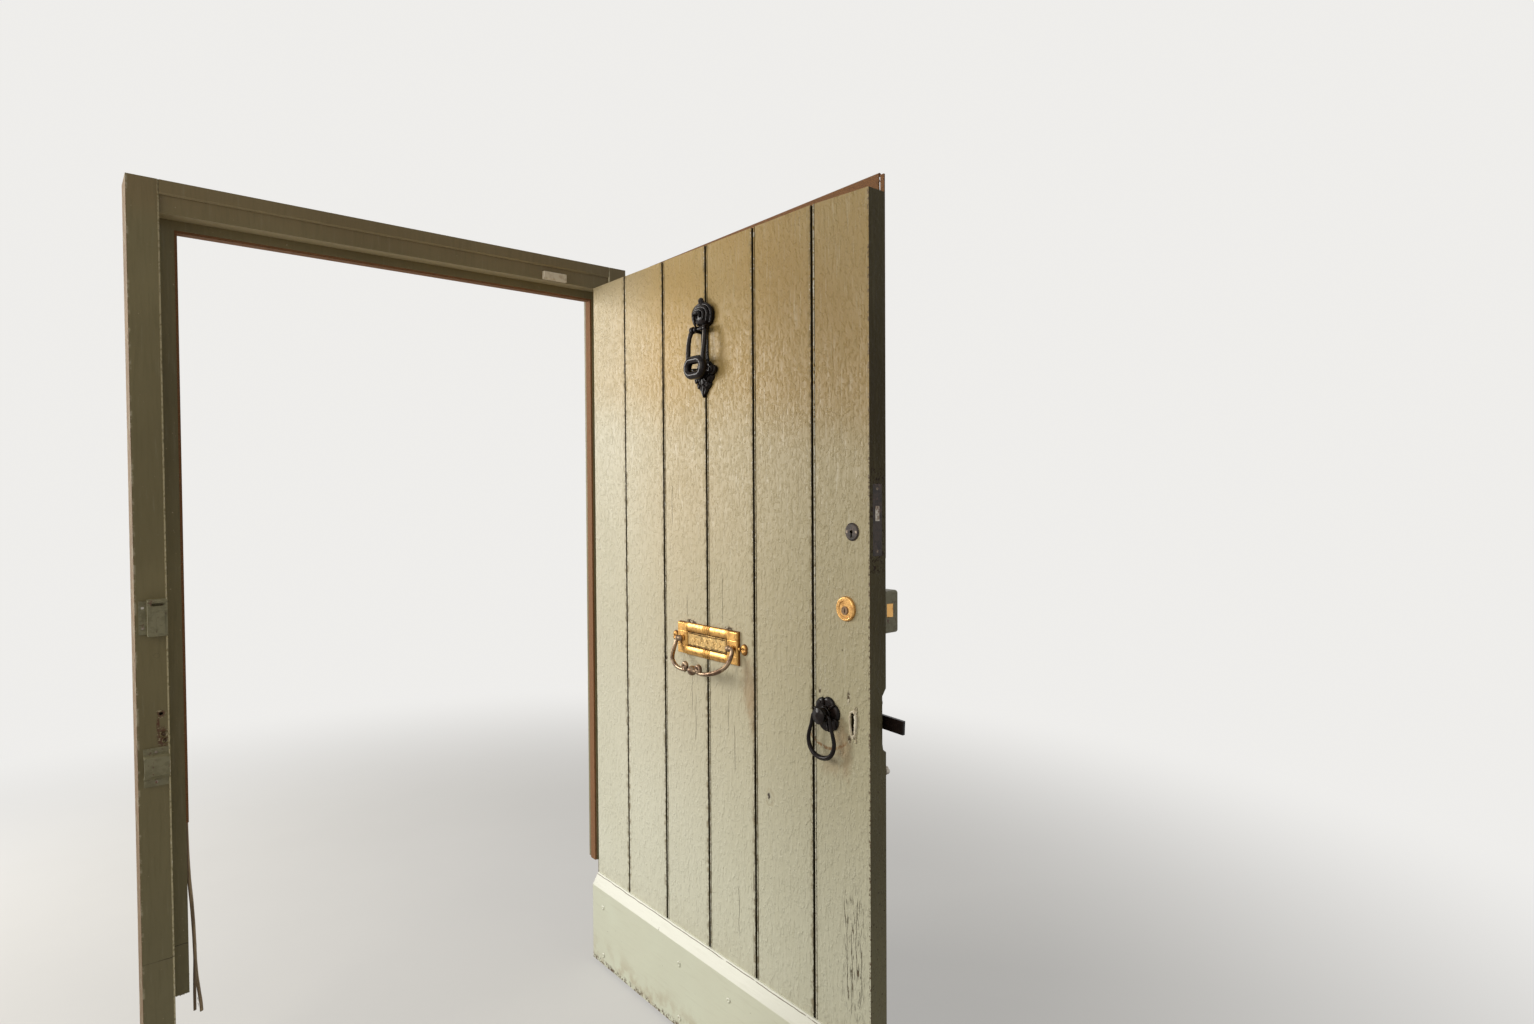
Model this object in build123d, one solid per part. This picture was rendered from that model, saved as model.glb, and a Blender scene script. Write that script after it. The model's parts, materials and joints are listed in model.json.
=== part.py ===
from build123d import *
import os
from math import atan, cos, degrees, radians, tan

# Boarded cottage front door, standing open at a right angle in its rebated timber frame.
# Frame axes: +X to the right seen from the room, +Y out of doors, +Z up.
# Origin: on the floor, midway between the jambs, in the plane of the frame's room side face.
# Places on the leaf are given by s (from the hinge edge), h (from the bottom) and d (in from the outer face).

# Leaf
BOARD_WIDTHS = [160.0, 175.0, 174.0, 166.5, 179.5, 150.0]
LEAF_W = sum(BOARD_WIDTHS)
LEAF_H = 1830.0
BOARD_T = 24.0
BACKING_T = 20.0
LEAF_T = BOARD_T + BACKING_T
FLOOR_GAP = 8.0

# Clearances of the leaf in its frame
SIDE_GAP = 2.5
TOP_GAP = 4.0
STOP_GAP = 2.0
SEAT = 0.3                  # rest gap between a moving piece and what stops it
RUN = 0.05                  # radial clearance of pins and spindles
FIT = 0.1                   # clearance of pieces let into wood

# Frame timbers
REBATE_D = LEAF_T + STOP_GAP
STOP_D = 44.0
FRAME_D = REBATE_D + STOP_D
JAMB_FACE = 53.0
JAMB_STOP_W = 28.0
HEAD_STOP_H = 19.0
PACKER_H = 36.0
PACKER_SET = 6.0            # the packer's face lies this far behind the head's face
HEAD_H = 28.0
ARRIS = 3.0
OPEN_X = LEAF_W / 2 + SIDE_GAP
JAMB_X = OPEN_X + JAMB_FACE
STOP_X = OPEN_X - JAMB_STOP_W
SOFFIT_Z = FLOOR_GAP + LEAF_H + TOP_GAP
HEAD_Z = SOFFIT_Z + PACKER_H
FRAME_H = HEAD_Z + HEAD_H
STOP_Z = SOFFIT_Z - HEAD_STOP_H
TENON_L = 38.0
TENON_T = 20.0
TENON_SHOULDER = 4.0
PEG_R = 6.0
PEG_L = 70.0
PEG_IN = 20.0               # peg's distance in from the tenon's shoulder
SPLICE_Z = 350.0            # where the latch jamb's new foot is let in
SPLICE_LAP = 50.0
FIXING_R = 4.0
HINGE_FIXING_END = 303.0    # from each end of the hinge jamb to its outer fixings
LATCH_FIXING_END = 313.0    # the latch jamb's are set further in

# Hinge pin
PIN_PROUD = 7.5
PIN_X = OPEN_X - SIDE_GAP / 2
PIN_Y = -PIN_PROUD
PIN_R = 4.0
KNUCKLE_R = 6.5

# Leaf at rest: open at a right angle about the hinge pin
LEAF_X = PIN_X - PIN_PROUD - LEAF_T
LEAF_Y = PIN_Y - SIDE_GAP / 2
LEAF_Z = FLOOR_GAP

# Boards
BOARD_JOINTS = [sum(BOARD_WIDTHS[:count]) for count in range(1, len(BOARD_WIDTHS))]
BEADED_FROM = 3             # boards from this one on have a bead along their hinge side edge
JOINT_GAP = 5.0
TONGUE_L = 11.0
TONGUE_T = 6.0
TONGUE_D = 10.0
BEAD_W = 4.4
QUIRK_W = 2.0
QUIRK_D = 3.4
TOP_FALL = 6.5              # how much lower the last board's top is at the leading corner

# Backing frame on the room side of the boards
HINGE_STILE_W = 110.0
LOCK_STILE_W = 125.0
NOTCH = [(-58.0, 0.0), (-52.0, 8.0), (-31.0, 12.0), (-11.0, 16.0), (3.0, 10.0), (18.0, 13.0), (37.0, 9.0),
         (46.0, 12.0), (62.0, 0.0)]     # torn arris by the latch bar: height from the ring, depth
NOTCH_REACH = 9.0
BOTTOM_RAIL_H = 200.0
LOCK_RAIL_H = 150.0
LOCK_RAIL_DROP = 63.0       # the lock rail's top lies this far below the ring handle
TOP_RAIL_H = 140.0
STUB_L = 25.0
STUB_T = 8.0
BRACE_W = 95.0

# Kick board
KICK_H = 229.0
KICK_T = 20.0
KICK_BEVEL = 28.0
KICK_NOSE = 3.0
KICK_ENDS = (0.5, LEAF_W - 3.0)
DRIP_R = 3.0
KICK_SCREW_S = (55.0, BOARD_JOINTS[2] - 96.0, BOARD_JOINTS[2] + 94.0, LEAF_W - 55.0)
KICK_SCREW_H = (25.0, 155.0)

# Strap hinges
STRAP_L = 430.0
STRAP_W = 44.0
STRAP_TIP_W = 22.0
STRAP_EYE_R = 19.0
STRAP_T = 4.0
PLATE_H = 112.0
PLATE_W = 44.0
KNUCKLE_GAP = 0.5
HINGE_LOW = 170.0
HINGE_DOWN = 75.0           # the upper hinge's distance below the leaf's top
HINGE_H = (HINGE_LOW, LEAF_H - HINGE_DOWN)
STRAP_SCREWS = (45.0, 170.0, 300.0, STRAP_L)
PLATE_SCREW_X = (17.0, 34.0)
PLATE_SCREW_END = 12.0

# Screws: head radius, shank radius, head depth, length
WOOD_SCREW = (4.2, 2.0, 2.4, 18.0)
KICK_SCREW = (4.6, 2.2, 2.8, 28.0)
SMALL_SCREW = (2.6, 1.3, 1.4, 12.0)

# Ring handle's place, from which the heights of the locks follow
RING_S = LEAF_W - 110.0
RING_H = 843.0
LOCK_RAIL_Z = RING_H - LOCK_RAIL_DROP - LOCK_RAIL_H

# Night latch
LATCH_S = LEAF_W - 58.5
LATCH_UP = 208.8            # the cylinder's height above the ring handle
LATCH_H = RING_H + LATCH_UP
CYL_R = 15.8
CYL_RING_R = 23.5
CYL_RING_T = 6.0
PLUG_R = 8.0
PLUG_PROUD = 1.5
PLUG_DROP = 3.0
KEYWAY_W = 2.0
KEYWAY_H = 8.6
CASE_L = 88.0
CASE_H = 80.0
CASE_T = 36.0
CASE_CENTRE_H = LATCH_H - 5.8
CASE_INSET = 0.5
CASE_SCREW_S = (12.0, 18.0)
CASE_SCREW_H = 10.0
CASE_SCREW = (3.2, 1.8, 1.8, CASE_T + 12.0)
BOLT_H = 25.0
BOLT_T = 17.0
BOLT_L = 42.0
BOLT_THROW = 16.0
BOLT_CENTRE_H = LATCH_H - 2.8
BOLT_OUT = 4.2              # from the leaf's inner face to the bolt
BOLT_BEVEL = (8.0, 12.0)
KNOB_R = 15.0
KNOB_L = 20.0
KNOB_STEM_R = 6.0
KNOB_STEM_L = 15.4

# Deadlock
LOCK_UP = 167.7             # the forend's centre above the night latch's cylinder
LOCK_H = LATCH_H + LOCK_UP
LOCK_D = 21.7
FOREND_L = 133.0
FOREND_W = 25.0
FOREND_T = 3.0
LOCK_CASE_L = 61.0
LOCK_CASE_H = 100.0
LOCK_CASE_T = 14.0
DEAD_BOLT_T = 11.0
DEAD_BOLT_H = 28.0
DEAD_BOLT_L = 40.0
DEAD_BOLT_RISE = 12.0       # the bolt's centre above the forend's centre
DEAD_THROW = 14.0
KEY_S = LEAF_W - 43.0
KEY_H = LOCK_H - 22.5
KEY_BORE_R = 6.0
ESC_R = 17.0
ESC_T = 3.0
ESC_SCREW = 11.5
KEY_HEAD_R = 3.6
KEY_STEM_W = 4.0
KEY_STEM_L = 11.0
STRIKE_L = 90.0
STRIKE_W = 26.0
STRIKE_T = 2.0

# Old keyhole below, cut through the last board and blanked by the stile
OLD_KEY_S = LEAF_W - 42.0
OLD_KEY_H = RING_H - 7.0
OLD_KEY_W = 11.0
OLD_KEY_L = 44.0

# Ring handle and its latch bar
ROSE_R = 22.0
PETAL_R = 14.0
PETALS = 6
ROSE_T = 5.0
BOSS_R = 15.0
BOSS_L = 27.0
BOSS_DOME = 10.0
SPINDLE_R = 8.0
RING_OUT = 18.0             # the ring's plane from the leaf's face
RING_WIRE_R = 4.3
RING_NECK = 43.0            # length of the bar through the boss
RING_WIDE = 70.0
RING_DROP = 81.5            # from the bar to the foot of the ring
BAR_TIP_S = LEAF_W + 37.0
BAR_TIP_H = RING_H - 7.0
BAR_NECK = 34.0             # length of the taper from the bar's root
BAR_SQUARE = 9.0
BAR_ROOT_R = 17.0
BAR_H = 26.0
BAR_T = 6.0
BAR_OUT = 4.5
GUIDE_S = LEAF_W - 39.0
GUIDE_W = 14.0
GUIDE_T = 4.0
GUIDE_GAP = 66.0            # height of the way that the bar lifts in
GUIDE_FOOT = 14.0

# Slide bolt
SLIDE_H = LOCK_RAIL_Z + LOCK_RAIL_H - 35.0
SLIDE_OUT = 11.0
SLIDE_R = 6.0
SLIDE_S = (LEAF_W - 143.0, LEAF_W - 2.0)
SLIDE_PLATE_S = (LEAF_W - 153.0, LEAF_W - 5.0)
SLIDE_PLATE_H = 30.0
SLIDE_PLATE_T = 2.5
SLIDE_GUIDES = (LEAF_W - 133.0, LEAF_W - 53.0, LEAF_W - 17.0)
SLIDE_GUIDE_W = 12.0
SLIDE_GUIDE_WALL = 3.0
SLIDE_KNOB_S = LEAF_W - 109.0
SLIDE_KNOB_R = 7.0
SLIDE_KNOB_L = 20.0
SLIDE_TRAVEL = 30.0

# Letter plate
LETTER_S = BOARD_JOINTS[2] + 5.0
LETTER_H = 932.0
LP_W = 226.0
LP_H = 75.0
LP_T = 10.0
LP_BEVEL = 4.0
LP_WINDOW_W = 150.0
LP_WINDOW_H = 34.0
LP_LIP = 4.5                # thickness of the lip in front of the flap
LP_POCKET = 5.0             # how far the flap's pocket reaches past the window
FLAP_T = 3.0
FLAP_LAP = 2.5
FLAP_PIN_R = 2.0
EAR_R = 12.5
EAR_OUT = 130.0
EAR_T = 6.0
POST_OUT = 92.0
POST_R = 5.5
POST_HEAD_R = 7.5
POST_L = 16.0
BAIL_R = 3.2
BAIL_BALL_R = 10.0
BAIL_END_R = 4.4
BAIL_REACH = 11.0           # from a post to the end of the handle's pin
HANDLE_DROP = 60.0          # the handle's foot below its pins
HANDLE_OUT = 49.0           # and its distance from the leaf's face
ARM_SHOULDER = (106.0, 14.0, 19.0)     # points that each arm passes: aside, down, and out from the leaf
ARM_ELBOW = (102.0, 36.0, 31.0)
ARM_FOOT = (76.0, 55.0, 43.0)
CURL_X = 24.0
CURL_R = 7.5
CURL_T = 8.0
LOZENGE_W = 9.0
LOZENGE_STEP = 24.0
RIB_W = 4.0
RIB_STEP = 8.0
SLOT_CLEAR = 3.0            # the slot cut in the boards is this much larger than the flap

# Knocker; heights are from its hinge pin
KNOCK_S = BOARD_JOINTS[2]
KNOCK_DOWN = 190.0          # the pin's distance below the leaf's top
KNOCK_H = LEAF_H - KNOCK_DOWN
KNOCK_PLATE_T = 5.0
KNOCK_PLATE_W = 44.0
CROWN_Y = 35.0
CROWN_RX = 34.0
CROWN_RY = 25.0
CROWN_STEPS = 4
CROWN_STEP_T = 6.5
FINIAL_Y = 62.0
FINIAL_R = 8.0
LEAF_TIP_Y = -153.0
LEAF_WIDE_Y = -104.0
LEAF_HALF_W = 40.0
SCROLL_X = 37.0
SCROLL_Y = -95.0
LUG_X = 12.0
LUG_W = 8.0
KPIN_R = 3.0
KPIN_OUT = 18.0
LIMB_X = 24.0
LIMB_R = 5.2
LIMB_EYE_R = 8.0
LIMB_EYE_W = 11.0
BOW_Y = -87.0
BOW_OUT = 30.0
BOW_R = 9.5
BOW_END_R = 17.0
BOW_FLAT = 24.0
ANVIL_R = 9.0
STUD_R = 3.0
NUT_WASHER_R = 9.0
NUT_WASHER_T = 1.5
NUT_R = 6.5
NUT_T = 5.0

# Seals
SEAL_T = 5.0
SEAL_W = 24.0
SEAL_SET = 2.0              # behind the stop's face
LOOSE_Z = 600.0             # below this the latch side seal hangs free
LOOSE_ROUTE = [(0.0, 0.0), (80.0, 1.5), (180.0, 7.0), (290.0, 11.0)]      # how far down, and in from the stop
LOOSE_STRANDS = [[(360.0, 10.0), (410.0, 9.0)], [(360.0, 16.0), (420.0, 21.0)]]
TOP_SEAL_S = (210.0, LEAF_W - 15.0)
TOP_SEAL_BASE_H = 40.0
TOP_SEAL_T = 2.6
TOP_SEAL_TOP = LEAF_H + 20.0
TOP_SEAL_RISE = 10.0
SEAL_LIP_R = 3.6
EDGE_SEAL_S = (LEAF_W - 11.0, LEAF_W - 2.0)
EDGE_SEAL_CLEAR = 62.0      # the seal's foot above the night latch case
EDGE_SEAL_UP = 28.0         # and its top above the leaf's top
EDGE_SEAL_T = 3.0

# Alarm contact
CONTACT_X = (311.0, 375.0)
CONTACT_H = 20.0
CONTACT_T = 12.0
MAGNET_L = 58.0

# Keeps on the latch jamb
KEEP_PROUD = 26.0
KEEP_WALL = 3.0
KEEP_FLANGE = 4.0
KEEP_FLANGE_L = 13.0
KEEP_ROOM = 12.0            # the pocket goes this far past the thrown bolt
KEEP_SET = 2.0              # the keep's edge behind the jamb's arris
KEEP_Z = (LEAF_Z + BOLT_CENTRE_H - 54.0, LEAF_Z + BOLT_CENTRE_H + 18.0)
KEEP_BOX_X = -(OPEN_X + BOLT_THROW + KEEP_ROOM + 2 * KEEP_WALL)
KEEP_X = (KEEP_BOX_X - KEEP_FLANGE_L, -OPEN_X - KEEP_SET)
KEEP_SLOT = (22.0, 6.0)
KEEP_PANEL = (13.0, 44.0)
KEEP_PANEL_T = 1.2
KEEP_SCREW_END = 16.0
BKEEP_T = 3.5
BKEEP_ROOM = 1.5
BKEEP_PROUD = SLIDE_OUT + SLIDE_R + BKEEP_ROOM + BKEEP_T
BKEEP_FOOT = 17.0
BKEEP_X = (-OPEN_X - SLIDE_TRAVEL - 14.0, -OPEN_X - 3.0)
BKEEP_Z = (LEAF_Z + SLIDE_H - 50.0, LEAF_Z + SLIDE_H + 26.0)
STRIKE_SCREW_END = 9.0

# Marks of a lost keeper in the latch jamb's face: a screw hole, and two torn pits by the opening
LOST_IN = 14.0
LOST_SCREW_Z = 845.0
LOST_SCREW_R = 3.4
LOST_SCREW_D = 14.0
TORN_PITS = ((10.0, 803.0, 7.0), (8.0, 790.0, 5.5))     # in from the opening, height, radius

parts = {}
drilled = {}


def slab(x0, x1, y0, y1, z0, z1):
    return Pos((x0 + x1) / 2, (y0 + y1) / 2, (z0 + z1) / 2) * Box(x1 - x0, y1 - y0, z1 - z0)


def leaf_slab(s0, s1, d0, d1, h0, h1):
    """A block in leaf terms: s from the hinge edge, d in from the outer face, h from the bottom."""
    return slab(LEAF_X + d0, LEAF_X + d1, LEAF_Y - s1, LEAF_Y - s0, LEAF_Z + h0, LEAF_Z + h1)


def front(s, h, out=0.0):
    """Plane on the leaf's outer face: local X runs away from the hinges, Y up, Z out of the face."""
    return Plane(origin=(LEAF_X - out, LEAF_Y - s, LEAF_Z + h), x_dir=(0, -1, 0), z_dir=(-1, 0, 0))


def back(s, h, out=0.0):
    """Plane on the leaf's inner face: local X runs towards the hinges, Y up, Z into the room."""
    return Plane(origin=(LEAF_X + LEAF_T + out, LEAF_Y - s, LEAF_Z + h), x_dir=(0, 1, 0), z_dir=(1, 0, 0))


def edge(d, h):
    """Plane on the leading edge: local X runs from the outer to the inner face, Y up, Z off the edge."""
    return Plane(origin=(LEAF_X + d, LEAF_Y - LEAF_W, LEAF_Z + h), x_dir=(1, 0, 0), z_dir=(0, -1, 0))


def rod(radius, z0, z1):
    return Pos(0, 0, z0) * Cylinder(radius, z1 - z0, align=(Align.CENTER, Align.CENTER, Align.MIN))


def cross_rod(radius, x0, x1):
    """A rod along local X."""
    return Pos(x0, 0, 0) * Rot(0, 90, 0) * rod(radius, 0, x1 - x0)


def plate(sketch, z0, z1):
    return Pos(0, 0, z0) * extrude(sketch, amount=z1 - z0, dir=(0, 0, 1))


def outline(*curves):
    return make_face(Curve() + list(curves))


def tube(path, radius):
    return sweep(Plane(origin=path @ 0, z_dir=path % 0) * Circle(radius), path=path)


def leaf_profile(points):
    """Corner points given as (s, d), turned into the frame's X and Y."""
    return [(LEAF_X + d, LEAF_Y - s) for s, d in points]


def screw(size, grow=0.0):
    """Countersunk screw, its head flush with the local XY plane."""
    head, shank, head_d, length = size
    cone = Pos(0, 0, -head_d / 2) * Cone(shank + grow, head + grow, head_d)
    return cone + rod(shank + grow, -length - grow, -head_d / 2)


def fasten(group, place, size, *through):
    """Adds a screw to a group and drills the nodes that it goes through."""
    parts.setdefault(group, []).append(place * screw(size))
    for name in through:
        drilled.setdefault(name, []).append(place * screw(size, FIT))


def drill(name, *cutters):
    drilled.setdefault(name, []).extend(cutters)


def jamb_solid(side, z0, z1):
    """One jamb's section between two heights; side is 1 for the hinge side and -1 for the latch side."""
    face = Polygon((OPEN_X, ARRIS), (OPEN_X + ARRIS, 0), (JAMB_X, 0), (JAMB_X, FRAME_D), (OPEN_X, FRAME_D),
                   align=None)
    body = plate(face, z0, z1)
    stop_z0 = max(z0, stop_bottom())
    if z1 > stop_z0:
        body += slab(STOP_X, OPEN_X, REBATE_D, FRAME_D, stop_z0, min(z1, SOFFIT_Z))
    return body if side > 0 else mirror(body, about=Plane.YZ)


def stop_bottom():
    """The jamb stops end just above the kick board, which shuts between the jambs."""
    return FLOOR_GAP + KICK_H + 2 * TOP_GAP


def tenon(side, grow=0.0):
    x0, x1 = OPEN_X - grow, OPEN_X + TENON_L + grow
    mid = FRAME_D / 2
    block = slab(x0, x1, mid - TENON_T / 2 - grow, mid + TENON_T / 2 + grow,
                 HEAD_Z + TENON_SHOULDER - grow, FRAME_H - TENON_SHOULDER + grow)
    return block if side > 0 else mirror(block, about=Plane.YZ)


def make_frame():
    hinge_jamb = jamb_solid(1, 0, FRAME_H) - tenon(1, FIT)
    latch_jamb = jamb_solid(-1, SPLICE_Z, FRAME_H) - tenon(-1, FIT)
    foot = jamb_solid(-1, 0, SPLICE_Z + SPLICE_LAP)
    lap = slab(-JAMB_X - 1, -STOP_X + 1, FRAME_D / 2, FRAME_D + 1, SPLICE_Z - 1, SPLICE_Z + SPLICE_LAP)
    over = slab(-JAMB_X - 1, -STOP_X + 1, -1, FRAME_D / 2, SPLICE_Z, SPLICE_Z + SPLICE_LAP + 1)
    parts["hinge_jamb"] = hinge_jamb
    parts["latch_jamb"] = latch_jamb - lap
    parts["latch_jamb_foot"] = foot - over

    head_face = Polygon((0, HEAD_Z + ARRIS), (ARRIS, HEAD_Z), (FRAME_D, HEAD_Z), (FRAME_D, FRAME_H),
                        (0, FRAME_H), align=None)
    length_plane = Plane(origin=(-OPEN_X, 0, 0), x_dir=(0, 1, 0), z_dir=(1, 0, 0))
    head = length_plane * plate(head_face, 0, 2 * OPEN_X)
    parts["head"] = head + tenon(1) + tenon(-1)
    packer = slab(-OPEN_X, OPEN_X, PACKER_SET, FRAME_D, SOFFIT_Z, HEAD_Z)
    parts["head_packer"] = packer + slab(-STOP_X, STOP_X, REBATE_D, FRAME_D, STOP_Z, SOFFIT_Z)

    peg_z = (HEAD_Z + FRAME_H) / 2
    for side in (-1, 1):
        place = Plane(origin=(side * (OPEN_X + PEG_IN), 0, peg_z), z_dir=(0, 1, 0))
        parts.setdefault("frame_pegs", []).append(place * rod(PEG_R, 0, PEG_L))
        bore = place * rod(PEG_R, -1, PEG_L)
        drill("hinge_jamb" if side > 0 else "latch_jamb", bore)
        drill("head", bore)

    for side, names, end in ((1, ["hinge_jamb"], HINGE_FIXING_END),
                             (-1, ["latch_jamb", "latch_jamb_foot"], LATCH_FIXING_END)):
        for z in (end, FRAME_H / 2, FRAME_H - end):
            place = Plane(origin=(side * OPEN_X, REBATE_D / 2, z), z_dir=(side, 0, 0))
            for name in names:
                drill(name, place * rod(FIXING_R, -1, JAMB_FACE + 1))


def make_frame_seals():
    y0, y1 = REBATE_D + SEAL_SET, REBATE_D + SEAL_SET + SEAL_W
    parts["draught_seals"] = [slab(-STOP_X, STOP_X, y0, y1, STOP_Z - SEAL_T, STOP_Z),
                              slab(STOP_X - SEAL_T, STOP_X, y0, y1, stop_bottom(), STOP_Z - SEAL_T),
                              slab(-STOP_X, -STOP_X + SEAL_T, y0, y1, LOOSE_Z, STOP_Z - SEAL_T)]
    parts["loose_seal"] = loose_seal()


def loose_seal():
    """The latch side seal's foot, off its stop and split in two; it hangs clear of the shut kick board."""
    mid_y = LEAF_T + KICK_T + STOP_GAP + SEAL_W / 4
    band = ribbon(LOOSE_ROUTE, mid_y, SEAL_W / 2)
    for index, strand in enumerate(LOOSE_STRANDS):
        y = mid_y + (index - 0.5) * SEAL_W / 4
        band += ribbon(LOOSE_ROUTE[-1:] + strand, y, SEAL_W / 4)
    return band


def ribbon(route, y, depth):
    """A strip of the seal's thickness along points given as (down, in), centred on a plane y."""
    left = [(-STOP_X + drift, LOOSE_Z - down) for down, drift in route]
    right = [(x + SEAL_T, z) for x, z in reversed(left)]
    place = Plane(origin=(0, y + depth / 2, 0), x_dir=(1, 0, 0), z_dir=(0, -1, 0))
    return place * plate(Polygon(*left, *right, align=None), 0, depth)


def make_keeps():
    """The painted night latch keep, the slide bolt's keep, the deadlock strike and the alarm contact."""
    x0, x1 = KEEP_X
    z0, z1 = KEEP_Z
    box = slab(KEEP_BOX_X, x1, -KEEP_PROUD, 0, z0, z1)
    box = fillet(box.edges().filter_by(Axis.X).group_by(Axis.Y)[0], 2.5)
    hollow = slab(KEEP_BOX_X + 2 * KEEP_WALL, x1 + 1, -KEEP_PROUD + KEEP_WALL, -KEEP_WALL / 2,
                  z0 + KEEP_WALL, z1 - KEEP_WALL)
    flange = slab(x0, KEEP_BOX_X, -KEEP_FLANGE, 0, z0 + KEEP_WALL, z1 - KEEP_WALL)
    face = Plane(origin=((KEEP_BOX_X + x1) / 2, -KEEP_PROUD, z1), x_dir=(1, 0, 0), z_dir=(0, -1, 0))
    slot_l, slot_w = KEEP_SLOT
    slot = face * Pos(1, -1.5 * slot_w, 0) * plate(SlotOverall(slot_l, slot_w), -KEEP_WALL - 1, 1)
    panel_w, panel_h = KEEP_PANEL
    panel_y = -(z1 - z0) + panel_h / 2 + 2 * KEEP_PANEL_T + KEEP_WALL
    panel = face * Pos(panel_w / 2 - 1.5, panel_y, 0) * plate(Rectangle(panel_w, panel_h), 0, KEEP_PANEL_T)
    parts["nightlatch_keep"] = box - hollow - slot + flange + panel
    for z in (z0 + KEEP_SCREW_END, z1 - KEEP_SCREW_END):
        place = Plane(origin=((x0 + KEEP_BOX_X) / 2, -KEEP_FLANGE, z), z_dir=(0, -1, 0))
        fasten("frame_screws", place, SMALL_SCREW, "nightlatch_keep", "latch_jamb")

    parts["bolt_keep"] = bolt_keep()
    for z in (BKEEP_Z[0] + BKEEP_FOOT / 2, BKEEP_Z[1] - BKEEP_FOOT / 2):
        place = Plane(origin=(sum(BKEEP_X) / 2, -BKEEP_T, z), z_dir=(0, -1, 0))
        fasten("frame_screws", place, SMALL_SCREW, "bolt_keep", "latch_jamb")

    z = FLOOR_GAP + LOCK_H + DEAD_BOLT_RISE
    y = LEAF_T - LOCK_D
    bolt_way = slab(-OPEN_X - DEAD_THROW - 2, -OPEN_X + 1, y - DEAD_BOLT_T / 2 - 1, y + DEAD_BOLT_T / 2 + 1,
                    z - DEAD_BOLT_H / 2 - 2, z + DEAD_BOLT_H / 2 + 2)
    strike = slab(-OPEN_X - STRIKE_T, -OPEN_X, y - STRIKE_W / 2, y + STRIKE_W / 2,
                  z - STRIKE_L / 2, z + STRIKE_L / 2)
    parts["deadlock_strike"] = strike - bolt_way
    drill("latch_jamb", strike, bolt_way)
    for step in (-1, 1):
        place = Plane(origin=(-OPEN_X, y, z + step * (STRIKE_L / 2 - STRIKE_SCREW_END)), z_dir=(1, 0, 0))
        fasten("frame_screws", place, SMALL_SCREW, "deadlock_strike", "latch_jamb")

    cx0, cx1 = CONTACT_X
    switch = slab(cx0, cx1, PACKER_SET - CONTACT_T, PACKER_SET, SOFFIT_Z + 1, SOFFIT_Z + 1 + CONTACT_H)
    parts["contact_switch"] = fillet(switch.edges().group_by(Axis.Y)[0], 1.5)

    lost = Plane(origin=(-OPEN_X - LOST_IN, 0, LOST_SCREW_Z), z_dir=(0, -1, 0))
    hole = lost * rod(LOST_SCREW_R, -LOST_SCREW_D, 1)
    pits = [Pos(-OPEN_X - side, 0, z) * Sphere(radius) for side, z, radius in TORN_PITS]
    drill("latch_jamb", hole, *pits)


def bolt_keep():
    """A strap keep: two feet screwed to the jamb and a raised, rounded bridge that the bolt runs under."""
    z0, z1 = BKEEP_Z
    reach = BKEEP_PROUD
    rise0, rise1 = z0 + BKEEP_FOOT, z1 - BKEEP_FOOT
    outer = [(0, z0), (BKEEP_T, z0), (BKEEP_T, rise0 - 4), (reach, rise0 + 8), (reach, rise1 + 2),
             (BKEEP_T, rise1 + 4), (BKEEP_T, z1), (0, z1)]
    inner = [(0, rise0 + 1), (reach - BKEEP_T, rise0 + 10), (reach - BKEEP_T, rise1 - 1), (0, rise1)]
    place = Plane(origin=(BKEEP_X[0], 0, 0), x_dir=(0, -1, 0), z_dir=(1, 0, 0))
    width = BKEEP_X[1] - BKEEP_X[0]
    flip = [(a, -b) for a, b in outer], [(a, -b) for a, b in inner]
    strap = place * plate(Polygon(*flip[0], align=None), 0, width)
    way = place * plate(Polygon(*flip[1], align=None), -1, width + 1)
    return strap - way


def board_outline(index):
    """Section of one board in (s, d), with its groove, tongue and bead."""
    joints = [0.0] + BOARD_JOINTS + [LEAF_W]
    first, last = index == 1, index == len(joints) - 1
    s0 = joints[index - 1] + (0 if first else JOINT_GAP / 2)
    s1 = joints[index] - (0 if last else JOINT_GAP / 2)
    tongue0, tongue1 = TONGUE_D, TONGUE_D + TONGUE_T
    end = s1 + TONGUE_L
    tongue = [] if last else [(s1, tongue0), (end, tongue0), (end, tongue1), (s1, tongue1)]
    groove_s = s0 + TONGUE_L - JOINT_GAP + 1
    groove = [] if first else [(s0, tongue1 + FIT), (groove_s, tongue1 + FIT), (groove_s, tongue0 - FIT),
                               (s0, tongue0 - FIT)]
    right = [(s1, 0)] + tongue + [(s1, BOARD_T), (s0, BOARD_T)] + groove
    if index < BEADED_FROM:
        return outline(Polyline(*leaf_profile([(s0, 0)] + right), close=True))
    bead_r = BEAD_W / 2
    quirk = [(s0 + BEAD_W, bead_r), (s0 + BEAD_W, QUIRK_D), (s0 + BEAD_W + QUIRK_W, QUIRK_D),
             (s0 + BEAD_W + QUIRK_W, 0)]
    bead = leaf_profile([(s0, bead_r), (s0 + bead_r, 0), (s0 + BEAD_W, bead_r)])
    return outline(ThreePointArc(*bead), Polyline(*leaf_profile(quirk + right + [(s0, bead_r)])))


def make_boards():
    count = len(BOARD_JOINTS) + 1
    for index in range(1, count + 1):
        board = Pos(0, 0, LEAF_Z) * extrude(board_outline(index), amount=LEAF_H)
        if index == count:
            board -= top_fall(BOARD_JOINTS[-1])
        parts[f"board_{index}"] = board


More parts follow.
